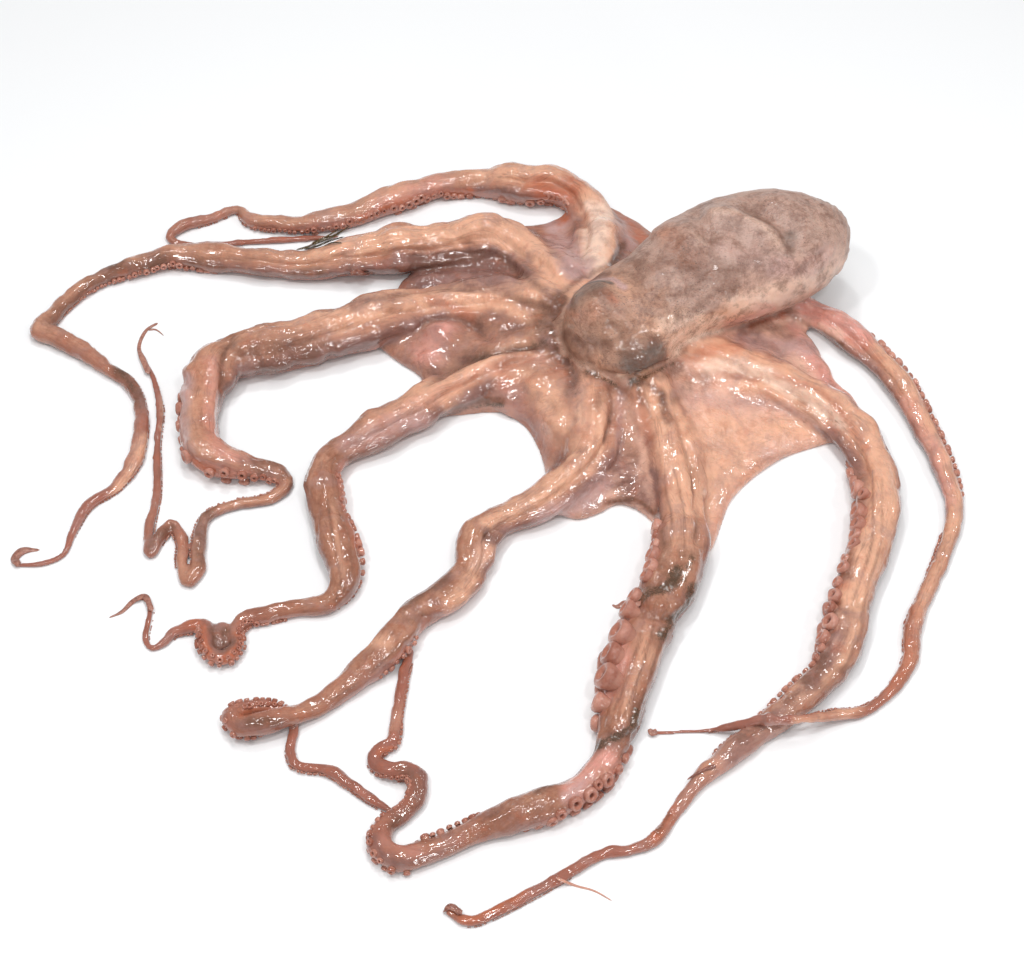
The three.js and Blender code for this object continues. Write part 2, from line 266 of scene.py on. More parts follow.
def bell(values: Array, width: float) -> Array:
    """Gives 1 where values are 0 and falls off on both sides."""
    return np.exp(-(values / width) ** 2)


def unit(rows: Array) -> Array:
    """Scales rows of coordinates to length 1."""
    return rows / np.linalg.norm(rows, axis=1, keepdims=True)


def ellipsoid(offsets: Sequence[Array], radii: Sequence[Array | float]) -> Array:
    """Measures how far places lie from an ellipsoid's skin.

    Args:
        offsets: Distances from its middle along each of its axes.
        radii: Its half sizes along the same axes.

    Returns:
        The distances, minus inside.
    """
    outward = np.sqrt(sum((off / radius) ** 2 for off, radius in zip(offsets, radii))) + TINY
    slope = np.sqrt(sum((off / radius ** 2) ** 2 for off, radius in zip(offsets, radii))) + TINY
    return outward * (outward - 1) / slope


def grid_faces(rows: int, columns: int, closed: bool = False) -> Array:
    """Numbers the four-sided faces of a grid of points.

    Args:
        rows: How many rows of points it has.
        columns: How many points are in a row.
        closed: Whether each row is a ring.

    Returns:
        Rows of four point numbers.
    """
    wanted = columns if closed else columns - 1
    row, column = np.meshgrid(np.arange(rows - 1), np.arange(wanted), indexing="ij")
    after = (column + 1) % columns
    return np.stack([row * columns + column, row * columns + after,
                     (row + 1) * columns + after, (row + 1) * columns + column], axis=-1).reshape(-1, 4)


@dataclass(frozen=True)
class Eye:
    """The cook's eye and an upright sheet in front of it, on which marks are drawn.

    A mark falls on the skin behind it. The camera stands at the same eye.

    Attributes:
        sheet: The sheet's width and height; x runs to the right on it and y runs down.
        distance: How far the eye is from the middle of the drawing, in millimetres.
        elevation: How far it looks down, radians.
        view: How wide the sheet looks, radians.
    """

    sheet: Pair = (1024.0, 962.0)
    distance: float = 1100.0
    elevation: float = math.radians(50.0)
    view: float = math.radians(30.0)

    @property
    def place(self) -> Array:
        """The eye's place in drawing millimetres."""
        return np.array([0, -math.cos(self.elevation), math.sin(self.elevation)]) * self.distance

    @property
    def ahead(self) -> Array:
        """The way the eye looks."""
        return -self.place / self.distance

    @property
    def upward(self) -> Array:
        """The way that is up on the sheet."""
        return np.array([0, math.sin(self.elevation), math.cos(self.elevation)])

    @property
    def focus(self) -> float:
        """How far the sheet is from the eye, in the sheet's own measure."""
        return self.sheet[0] / 2 / math.tan(self.view / 2)

    def on_sheet(self, points: Array) -> Array:
        """Finds where points in drawing millimetres show on the sheet, as rows of x and y."""
        off = points - self.place
        depth = off @ self.ahead
        return np.stack([self.sheet[0] / 2 + self.focus * off[:, 0] / depth,
                         self.sheet[1] / 2 - self.focus * (off @ self.upward) / depth], axis=1)

    def rays(self, marks: Array) -> Array:
        """Gives the lines from the eye through marks on the sheet, each one unit deep."""
        off = (marks - np.array(self.sheet) / 2) / self.focus
        return self.ahead + off[:, :1] * [1.0, 0.0, 0.0] - off[:, 1:] * self.upward


EYE = Eye()


def catmull(points: Array, steps: int) -> Array:
    """Runs a centripetal Catmull-Rom curve through points.

    Args:
        points: Rows of coordinates.
        steps: Samples between two neighbouring rows.

    Returns:
        The sampled rows, the last point included.
    """
    before = 2 * points[0] - points[1]
    after = 2 * points[-1] - points[-2]
    rows = np.vstack([before, points, after])
    p0, p1, p2, p3 = rows[:-3], rows[1:-2], rows[2:-1], rows[3:]
    gaps = [np.sqrt(np.linalg.norm(b - a, axis=1))[:, None] for a, b in ((p0, p1), (p1, p2), (p2, p3))]
    d0, d1, d2 = gaps
    start = ((p1 - p0) / d0 - (p2 - p0) / (d0 + d1) + (p2 - p1) / d1) * d1
    end = ((p2 - p1) / d1 - (p3 - p1) / (d1 + d2) + (p3 - p2) / d2) * d1
    t = (np.arange(steps) / steps)[None, :, None]
    c0, c1 = p1[:, None], start[:, None]
    c2 = (-3 * p1 + 3 * p2 - 2 * start - end)[:, None]
    c3 = (2 * p1 - 2 * p2 + start + end)[:, None]
    curve = c0 + c1 * t + c2 * t ** 2 + c3 * t ** 3
    return np.vstack([curve.reshape(-1, points.shape[1]), points[-1:]])


def rows_at(table: Array, place: Array) -> Array:
    """Reads a table between its rows, at fractional row numbers."""
    low = np.clip(np.floor(place).astype(int), 0, len(table) - 2)
    part = np.clip(place - low, 0, 1)
    if table.ndim > 1:
        part = part[:, None]
    return table[low] * (1 - part) + table[low + 1] * part


class Grain:
    """Seeded smooth noise on points, from about -1 to 1."""

    LATTICE = 256
    FINER = 2.03
    FAINTER = 0.5
    SHIFT = 7.1

    def __init__(self, seed: Seed) -> None:
        """Draws the lattice's values."""
        rng = np.random.default_rng(int(seed))
        self.order = rng.permutation(self.LATTICE)
        self.values = rng.uniform(-1, 1, self.LATTICE)

    def at(self, points: Array) -> Array:
        """Reads the noise.

        Args:
            points: Rows of x, y, z, in cells of the noise.

        Returns:
            One value for each row.
        """
        cell = np.floor(points).astype(np.int64)
        part = points - cell
        part = part * part * (3 - 2 * part)
        total = np.zeros(len(points))
        last = self.LATTICE - 1
        for dx in (0, 1):
            x_order = self.order[(cell[:, 0] + dx) & last]
            x_share = part[:, 0] if dx else 1 - part[:, 0]
            for dy in (0, 1):
                y_order = self.order[(x_order + cell[:, 1] + dy) & last]
                y_share = x_share * (part[:, 1] if dy else 1 - part[:, 1])
                for dz in (0, 1):
                    z_order = self.order[(y_order + cell[:, 2] + dz) & last]
                    z_share = y_share * (part[:, 2] if dz else 1 - part[:, 2])
                    total += self.values[z_order] * z_share
        return total

    def layers(self, points: Array, count: int) -> Array:
        """Adds finer and fainter copies of the noise."""
        total = np.zeros(len(points))
        for layer in range(count):
            total += self.at(points * self.FINER ** layer + self.SHIFT * layer) * self.FAINTER ** layer
        return total


# ---- soft limbs ----------------------------------------------------------------------------------


@dataclass
class Spine:
    """The middle line of an arm or of the body, sampled at even steps.

    Attributes:
        middle: Rows of x, y, z.
        wide: Half width at each row.
        high: Half height at each row.
        roll: How far the sucker side is rolled from straight down, radians.
        step: Distance between rows.
        cap: How far a round end stands out, as a share of its half height.
    """

    middle: Array
    wide: Array
    high: Array
    roll: Array
    step: float
    cap: float = 1.0
    out: Array = field(init=False)
    left: Array = field(init=False)

    def __post_init__(self) -> None:
        """Works out which way the line runs."""
        self.out = unit(np.gradient(self.middle, axis=0))
        self.left = unit(np.cross(UP, self.out))

    @property
    def length(self) -> float:
        """The line's whole length."""
        return (len(self.middle) - 1) * self.step

    @staticmethod
    def even(rows: Array, step: float) -> tuple[Array, float]:
        """Samples a curve at even steps of its plan length.

        Args:
            rows: Close rows whose first three columns are x, y, z.
            step: The distance wanted between rows.

        Returns:
            The new rows and the step that was used.
        """
        run = np.concatenate([[0], np.cumsum(np.linalg.norm(np.diff(rows[:, :3], axis=0), axis=1))])
        count = max(int(round(run[-1] / step)), 4)
        places = np.linspace(0, run[-1], count + 1)
        new = np.stack([np.interp(places, run, rows[:, c]) for c in range(rows.shape[1])], axis=1)
        return new, run[-1] / count


@dataclass
class Arm:
    """One arm: its waypoints, and how its two flanks differ.

    Attributes:
        owner: Which arm it is.
        waypoints: x, y, width, roll in degrees, lift.
        skirt: Which side carries a dark low flank: 1 left of the way out, -1 right, 0 none.
        skirt_end: How far from the crown that flank runs.
        deep: How much darker its outer half is.
        plan: Rows of distance from the crown, how large its suckers are there and how many degrees
            further they are rolled.
    """

    owner: "Owner"
    waypoints: tuple[Waypoint, ...]
    skirt: float = 0.0
    skirt_end: float = 1.0
    deep: float = 0.0
    plan: tuple[Triple, ...] = ((0, 1, 0),)
    spine: Spine = field(init=False)

    STEP = 2.4
    SAMPLES = 14
    UNEVEN = 0.12
    UNEVEN_RUN = 30.0
    APART = 7.7

    def __post_init__(self) -> None:
        """Runs the arm's line through its waypoints."""
        rows = np.array([tuple(w) + (0.0,) * (5 - len(w)) for w in self.waypoints], float)
        plan = catmull(rows[:, :2], self.SAMPLES)
        share = np.linspace(0, len(rows) - 1, len(plan))
        rest = rows_at(rows[:, 2:], share)
        table = np.column_stack([plan, np.zeros(len(plan)), rest])
        table, step = Spine.even(table, self.STEP)
        along = np.arange(len(table)) * step
        apart = np.full(len(along), self.owner.value * self.APART)
        places = np.column_stack([along / self.UNEVEN_RUN, apart, along * 0])
        width = table[:, 3] * (1 + self.UNEVEN * Grain(Seed.ARM_WIDTH).layers(places, 3))
        flat = ARM_FLATNESS * (1 + self.UNEVEN * Grain(Seed.ARM_FLATNESS).layers(places, 2))
        rise = CROWN_RISE * (1 - smooth(0, CROWN_RISE_RUN, along))
        table[:, 2] = width * flat / 2 - PRESSED_IN + rise + table[:, 5]
        self.spine = Spine(table[:, :3], width / 2, width * flat / 2, np.radians(table[:, 4]), step)

    def suckers_at(self, along: float) -> Pair:
        """Reads how large the suckers are at a distance, and how many degrees further they roll."""
        table = np.array(self.plan, float)
        return (float(np.interp(along, table[:, 0], table[:, 1])),
                float(np.interp(along, table[:, 0], table[:, 2])))


def body_spine() -> Spine:
    """Runs the body's line from the head's front to the mantle's end."""
    table, step = Spine.even(catmull(np.array(BODY_LINE, float), BODY_SAMPLES), BODY_STEP)
    halves = np.maximum(table[:, 3:], BODY_THINNEST)
    return Spine(table[:, :3], halves[:, 0], halves[:, 1], np.zeros(len(table)), step, BODY_CAP)


class Owner(Enum):
    """What a point of the skin belongs to."""

    REAR = 0
    LEFT_REAR = 1
    LEFT = 2
    LEFT_FRONT = 3
    FRONT_LEFT = 4
    FRONT = 5
    RIGHT = 6
    RIGHT_REAR = 7
    WEB = 8
    BODY = 9


@dataclass
class SkinField:
    """Distances to the skin on an even grid of cells, with what each cell belongs to."""

    low: Array = field(default_factory=lambda: np.array(FIELD_LOW))
    high: Array = field(default_factory=lambda: np.array(FIELD_HIGH))
    cell: float = CELL
    shape: tuple[int, ...] = field(init=False)
    values: Array = field(init=False)
    nearest: Array = field(init=False)
    owner: Array = field(init=False)
    along: Array = field(init=False)

    CHUNK = 8

    def __post_init__(self) -> None:
        """Sets up empty space."""
        self.shape = tuple(np.ceil((self.high - self.low) / self.cell).astype(int) + 1)
        self.values = np.full(self.shape, FAR, np.float32)
        self.nearest = np.full(self.shape, FAR, np.float32)
        self.owner = np.full(self.shape, Owner.WEB.value, np.uint8)
        self.along = np.zeros(self.shape, np.float32)

    def window(self, low: Array, high: Array) -> Window:
        """Finds the cells that a box covers."""
        first = np.clip(np.floor((low - self.low) / self.cell).astype(int), 0, None)
        last = np.minimum(np.ceil((high - self.low) / self.cell).astype(int) + 1, self.shape)
        return tuple(slice(int(a), int(b)) for a, b in zip(first, last))

    def axes(self, window: Window) -> list[Array]:
        """Gives the x, y and z of a window's cells, ready to broadcast."""
        lines = []
        for axis, part in enumerate(window):
            line = (self.low[axis] + np.arange(part.start, part.stop) * self.cell).astype(np.float32)
            lines.append(line.reshape([-1 if a == axis else 1 for a in range(3)]))
        return lines

    def tube(self, spine: Spine) -> tuple[Window, Array, Array]:
        """Works out distances to one limb.

        Args:
            spine: The limb's middle line.

        Returns:
            The window of cells, the distances in it and how far along the limb each cell is.
        """
        reach = np.maximum(spine.wide, spine.high).max() + CROWN_BAND
        from_crown = np.hypot(spine.middle[:, 0] - CROWN[0], spine.middle[:, 1] - CROWN[1])
        band = np.where(from_crown < CROWN_PAST + CROWN_BAND, CROWN_BAND, BAND)
        window = self.window(spine.middle.min(0) - reach, spine.middle.max(0) + reach)
        size = [part.stop - part.start for part in window]
        distance = np.full(size, FAR, np.float32)
        along = np.zeros(size, np.float32)
        for first in range(0, len(spine.middle) - 1, self.CHUNK):
            last = min(first + self.CHUNK, len(spine.middle) - 1)
            rows = slice(first, last + 1)
            margin = max(spine.wide[rows].max(), spine.high[rows].max()) + band[rows].max()
            box = self.window(spine.middle[rows].min(0) - margin, spine.middle[rows].max(0) + margin)
            x, y, z = self.axes(box)
            inner = tuple(slice(b.start - w.start, b.stop - w.start) for b, w in zip(box, window))
            best, place = distance[inner], along[inner]
            for i in range(first, last):
                self.segment(spine, i, (x, y, z), best, place)
        return window, distance, along

    @staticmethod
    def segment(spine: Spine, i: int, axes: Sequence[Array], best: Array, place: Array) -> None:
        """Lowers the distances round one straight piece of a limb.

        Args:
            spine: The limb's middle line.
            i: The piece's first row.
            axes: The x, y and z of the cells.
            best: Distances so far, changed in place.
            place: How far along the limb the nearest point is, changed in place.
        """
        start, end = spine.middle[i], spine.middle[i + 1]
        run = end - start
        x, y, z = axes[0] - start[0], axes[1] - start[1], axes[2] - start[2]
        t = np.clip((x * run[0] + y * run[1] + z * run[2]) / np.dot(run, run), 0, 1)
        x, y, z = x - t * run[0], y - t * run[1], z - t * run[2]
        left, out = spine.left[i], spine.out[i]
        up = np.cross(out, left)
        a = x * left[0] + y * left[1]
        b = x * up[0] + y * up[1] + z * up[2]
        c = x * out[0] + y * out[1] + z * out[2]
        wide = spine.wide[i] + t * (spine.wide[i + 1] - spine.wide[i])
        high = spine.high[i] + t * (spine.high[i + 1] - spine.high[i])
        distance = ellipsoid((a, b, c), (wide, high, high * spine.cap))
        closer = distance < best
        best[closer] = distance[closer]
        place[closer] = ((i + t) * spine.step)[closer]

    def join(self, window: Window, distance: Array, along: Array, owner: int,
             blend: Array | float) -> None:
        """Fuses a form into the field.

        Args:
            window: The form's cells.
            distance: Distances to the form.
            along: How far along the form each cell is.
            owner: The number that the form's points carry.
            blend: Width of the fillet with what is there already.
        """
        self.values[window] = smooth_min(self.values[window], distance, blend)
        closer = distance < self.nearest[window]
        self.nearest[window][closer] = distance[closer]
        self.owner[window][closer] = owner
        self.along[window][closer] = along[closer]

    def crown_blend(self, window: Window, near: float, far: float) -> Array:
        """Gives a wide fillet near the crown and a tight one far from it."""
        x, y, _ = self.axes(window)
        reach = np.hypot(x - CROWN[0], y - CROWN[1])
        return (far + (near - far) * (1 - smooth(CROWN_NEAR, CROWN_PAST, reach))).astype(np.float32)

    def lie_down(self, edge: float) -> None:
        """Cuts everything off at the surface it lies on, with a soft edge."""
        z = self.axes(tuple(slice(0, size) for size in self.shape))[2]
        self.values = -smooth_min(-self.values, np.broadcast_to(z, self.shape), edge)

    def surface(self) -> tuple[Array, Array]:
        """Turns the field into a closed mesh.

        Returns:
            Points in drawing millimetres, and four-sided faces.
        """
        grid = openvdb.FloatGrid(FAR)
        grid.copyFromArray(np.clip(self.values, -FAR, FAR).astype(np.float32), tolerance=0)
        points, _, quads = grid.convertToPolygons(isovalue=0.0, adaptivity=0.0)
        return self.low + points.astype(float) * self.cell, quads.astype(np.int32)


@dataclass
class Web:
    """The thin skin that joins the arms' roots, highest under the head."""

    rim: Line = WEB_RIM
    rim_thickness: float = WEB_RIM_THICKNESS
    top: float = WEB_TOP
    edge: float = 4.0
    sag: float = 0.85
    drop: float = 0.9
    slope: float = 0.95
    rim_slope: float = 0.85
    shoulder: float = 8.0
    swell: float = 7.0
    swell_heading: float = 234.0
    swell_turn: float = 20.0
    swell_start: Pair = (20.0, 50.0)
    swell_end: Pair = (70.0, 92.0)
    near_turns: tuple[float, ...] = (-4.0, -2.0, 0.0, 2.0, 4.0)
    wide_turns: tuple[float, ...] = (-24.0, -18.0, -12.0, -6.0, 0.0, 6.0, 12.0, 18.0, 24.0)

    def reach(self, heading: Array, turns: tuple[float, ...]) -> Array:
        """Gives how far the web reaches at headings in degrees, evened out over some turns."""
        table = np.array(self.rim)
        reach = np.zeros_like(heading, float)
        for turn in turns:
            reach += np.interp(heading + turn, table[:, 0], table[:, 1], period=360) / len(turns)
        return reach

    def distance(self, skin: SkinField) -> tuple[Window, Array, Array]:
        """Works out distances to the web.

        Args:
            skin: The field that the web goes into.

        Returns:
            The window of cells, the distances in it and a table of zeros.
        """
        far = max(reach for _, reach in self.rim) + CROWN_BAND
        middle = np.array([*CROWN, 0.0])
        window = skin.window(middle - [far, far, CROWN_BAND], middle + [far, far, self.top + CROWN_BAND])
        x, y, z = skin.axes(window)
        dx, dy = x - CROWN[0], y - CROWN[1]
        run = np.hypot(dx, dy)
        heading = np.degrees(np.arctan2(dy, dx)).ravel()
        reach = self.reach(heading, self.near_turns).reshape(run.shape)
        share = np.clip(run / self.reach(heading, self.wide_turns).reshape(run.shape), 0, 1)
        height = self.rim_thickness + (self.top - self.rim_thickness) * (1 - share) ** self.sag
        turn = (heading - self.swell_heading + 180) % 360 - 180
        bulge = bell(turn, self.swell_turn).reshape(run.shape)
        height = height + (self.swell * bulge * smooth(*self.swell_start, run)
                           * (1 - smooth(*self.swell_end, run)))
        near_rim = self.rim_thickness + np.maximum(reach - run, 0) * self.drop
        height = smooth_min(height, near_rim, self.shoulder)
        over = (z - height) * self.slope
        past = np.broadcast_to((run - reach) * self.rim_slope, over.shape)
        distance = -smooth_min(-over, -past, self.edge)
        return window, distance.astype(np.float32), np.zeros(distance.shape, np.float32)


@dataclass(frozen=True)
class Pad:
    """A cushion of flesh that closes a tight coil of an arm.

    Attributes:
        owner: The arm.
        middle: Its middle, in drawing millimetres.
        radii: Its half sizes.
        along: How far along the arm it lies.
    """

    owner: Owner
    middle: Triple
    radii: Triple
    along: float

    def distance(self, skin: SkinField) -> tuple[Window, Array, Array]:
        """Works out distances to the cushion, with its window and its place along the arm."""
        middle, radii = np.array(self.middle), np.array(self.radii)
        window = skin.window(middle - radii - BAND, middle + radii + BAND)
        off = [line - place for line, place in zip(skin.axes(window), middle)]
        distance = ellipsoid(off, radii).astype(np.float32)
        return window, distance, np.full(distance.shape, self.along, np.float32)


PADS: tuple[Pad, ...] = (
    Pad(Owner.LEFT_FRONT, (-156.5, -111.0, 2.0), (7.0, 10.0, 4.5), 344.0),
)


# ---- shader tools --------------------------------------------------------------------------------


@dataclass(frozen=True)
class Wire:
    """A node's output that can be used in arithmetic; each operation adds a Math node."""

    bench: "Bench"
    socket: bpy.types.NodeSocket

    def math(self, operation: str, *values: "Wire | float") -> "Wire":
        """Adds one Math node over these values."""
        return self.bench.node("ShaderNodeMath", {"operation": operation}, dict(enumerate(values)))

    def __add__(self, other: "Wire | float") -> "Wire":
        """Adds."""
        return self.math("ADD", self, other)

    def __radd__(self, other: float) -> "Wire":
        """Adds, from the right."""
        return self.math("ADD", other, self)

    def __sub__(self, other: "Wire | float") -> "Wire":
        """Subtracts."""
        return self.math("SUBTRACT", self, other)

    def __rsub__(self, other: float) -> "Wire":
        """Subtracts this from a value."""
        return self.math("SUBTRACT", other, self)

    def __mul__(self, other: "Wire | float") -> "Wire":
        """Multiplies."""
        return self.math("MULTIPLY", self, other)

    def __rmul__(self, other: float) -> "Wire":
        """Multiplies, from the right."""
        return self.math("MULTIPLY", other, self)

    def __pow__(self, other: "Wire | float") -> "Wire":
        """Raises to a power."""
        return self.math("POWER", self, other)

    def step(self, low: float, high: float) -> "Wire":
        """Rises smoothly from 0 at low to 1 at high."""
        return self.bench.node("ShaderNodeMapRange", {"interpolation_type": "SMOOTHSTEP", "clamp": True},
                               {0: self, 1: low, 2: high, 3: 0.0, 4: 1.0})


class Bench:
    """A material under construction."""

    def __init__(self, name: str) -> None:
        """Starts an empty material with its output node."""
        self.material = bpy.data.materials.new(name)
        self.material.use_nodes = True
        self.tree = self.material.node_tree
        self.tree.nodes.clear()

    def node(self, kind: str, settings: dict[str, Any] | None = None,
             inputs: dict[int | str, Any] | None = None, output: int | str = 0) -> Wire:
        """Adds a node.

        Args:
            kind: The node's type.
            settings: Its own settings, set before its sockets.
            inputs: Values or wires for its sockets, by number or name.
            output: Which of its outputs is wanted.

        Returns:
            That output, ready for arithmetic.
        """
        node = self.tree.nodes.new(kind)
        for key, value in (settings or {}).items():
            setattr(node, key, value)
        for key, value in (inputs or {}).items():
            if isinstance(value, Wire):
                self.tree.links.new(value.socket, node.inputs[key])
            else:
                node.inputs[key].default_value = value
        return Wire(self, node.outputs[output] if node.outputs else node.inputs[0])

    def across(self) -> Wire:
        """Gives the place on the part, in metres."""
        return self.node("ShaderNodeTexCoord", output="Object")

    def mask(self, name: str) -> Wire:
        """Reads a number that the mesh carries at each point."""
        return self.node("ShaderNodeAttribute", {"attribute_name": name}, output="Fac")

    def place(self, name: str) -> Wire:
        """Reads a vector that the mesh carries at each point."""
        return self.node("ShaderNodeAttribute", {"attribute_name": name}, output="Vector")

    def stretch(self, vector: Wire, scale: Triple) -> Wire:
        """Scales a vector by a fixed amount along each axis."""
        return self.node("ShaderNodeVectorMath", {"operation": "MULTIPLY"}, {0: vector, 1: scale})

    def blend(self, share: Wire, low: Wire | Colour, high: Wire | Colour) -> Wire:
        """Mixes a share of the second colour into the first."""
        return self.node("ShaderNodeMix", {"data_type": "RGBA", "blend_type": "MIX", "clamp_factor": True},
                         {0: share, 6: low, 7: high}, output=2)

    def bump(self, height: Wire, distance: float, strength: float) -> Wire:
        """Turns a height into a normal."""
        return self.node("ShaderNodeBump", None,
                         {"Height": height, "Distance": distance, "Strength": strength})

    def finish(self, sockets: dict[str, Any]) -> bpy.types.Material:
        """Ends in one principled shader with these sockets."""
        shader = self.node("ShaderNodeBsdfPrincipled", None, sockets)
        self.node("ShaderNodeOutputMaterial", None, {"Surface": shader})
        return self.material


@dataclass(frozen=True)
class Pattern:
    """A noise texture.

    Attributes:
        scale: How fine it is, per metre.
        detail: How many finer layers it has.
        rough: How strong the finer layers are.
        warp: How far it is twisted.
        start: The value from which its blots show.
        full: The value from which they show in full.
        sharp: How thin its lines are; more is thinner.
    """

    scale: float
    detail: float
    rough: float
    warp: float = 0.0
    start: float = 0.0
    full: float = 1.0
    sharp: float = 1.0

    MIDDLE = 0.5

    def swing(self, bench: Bench, place: Wire) -> Wire:
        """Gives how far its value at a place is from the middle."""
        return self.value(bench, place) - self.MIDDLE

    def value(self, bench: Bench, place: Wire) -> Wire:
        """Gives its value at a place, about 0.5 on average."""
        return bench.node("ShaderNodeTexNoise", {"noise_dimensions": "3D"},
                          {"Vector": place, "Scale": self.scale, "Detail": self.detail,
                           "Roughness": self.rough, "Distortion": self.warp})

    def blots(self, bench: Bench, place: Wire) -> Wire:
        """Gives its blots, 0 to 1."""
        return self.value(bench, place).step(self.start, self.full)

    def lines(self, bench: Bench, place: Wire) -> Wire:
        """Gives thin lines where it passes its middle, 0 to 1."""
        return 1.0 - (self.swing(bench, place) ** 2.0 * self.sharp).step(0.0, 1.0)


@dataclass(frozen=True)
class Coat:
    """A colour laid over the skin where a mask says so.

    Attributes:
        mask: The mesh's name for the mask.
        shade: The colour.
        ragged: How much uneven patches strengthen and weaken the mask.
        stray: How much they add to it, also where it is 0.
        start: The sum from which the coat shows.
        full: The sum from which it shows in full; 0 takes the mask as it is.
        share: How strong it is in full.
    """

    mask: str
    shade: Colour
    ragged: float = 0.0
    stray: float = 0.0
    start: float = 0.0
    full: float = 1.0
    share: float = 1.0

    def over(self, bench: Bench, colour: Wire | Colour, wander: Wire | None = None) -> Wire:
        """Lays the coat over a colour.

        Args:
            bench: The material.
            colour: The colour under it.
            wander: The skin's uneven patches, where the coat frays by them.

        Returns:
            The mixed colour.
        """
        mask = bench.mask(self.mask)
        if self.ragged:
            mask = mask * (1.0 + wander * self.ragged)
        if self.stray:
            mask = mask + wander * self.stray
        if self.full:
            mask = mask.step(self.start, self.full)
        if self.share < 1.0:
            mask = mask * self.share
        return bench.blend(mask, colour, self.shade)


@dataclass(frozen=True)
class Wetness:
    """How wet flesh takes light.

    Attributes:
        mirror: How strongly the surface itself mirrors.
        glow: How much light goes in under the surface.
        depth: How deep it goes, in metres.
        film: How rough the film of water is.
        bump: How far the fine relief stands out, in metres.
        bump_share: How strongly that shows.
    """

    mirror: float
    glow: float
    depth: float
    film: float
    bump: float
    bump_share: float

    BENDING = 1.42
    GLOW_REACH = (1.0, 0.42, 0.28)

    def finish(self, bench: Bench, colour: Wire, rough: Wire, height: Wire,
               water: Wire) -> bpy.types.Material:
        """Ends a material.

        Args:
            bench: The material.
            colour: Its colour.
            rough: Its roughness.
            height: Its fine relief, 0 to 1.
            water: How much water lies on it.

        Returns:
            The material.
        """
        return bench.finish({
            "Base Color": colour, "Roughness": rough, "IOR": self.BENDING,
            "Normal": bench.bump(height, self.bump, self.bump_share),
            "Specular IOR Level": self.mirror, "Subsurface Weight": self.glow,
            "Subsurface Radius": self.GLOW_REACH, "Subsurface Scale": self.depth,
            "Coat Weight": water, "Coat Roughness": self.film,
        })


class Tint(Enum):
    """What is brushed onto the skin; the value is the mesh's name for each."""

    TAN = "tan"
    CREAM = "cream"
    PEACH = "peach"
    ROSE = "rose"
    LILAC = "lilac"
    MAUVE = "mauve"
    UMBER = "umber"
    RUST = "rust"
    SLATE = "slate"
    # Dark dirt, and painted shade where it is brushed into the crevices round the head's base.
    GRIME = "grime"
    SPECKLE = "speckle"
    GLOSS = "gloss"
    MATT = "matt"


TAN = srgb(193, 139, 115)
PEACH = srgb(232, 177, 147)
MAUVE = srgb(132, 94, 86)
RUST = srgb(186, 106, 76)
UMBER = srgb(116, 78, 62)


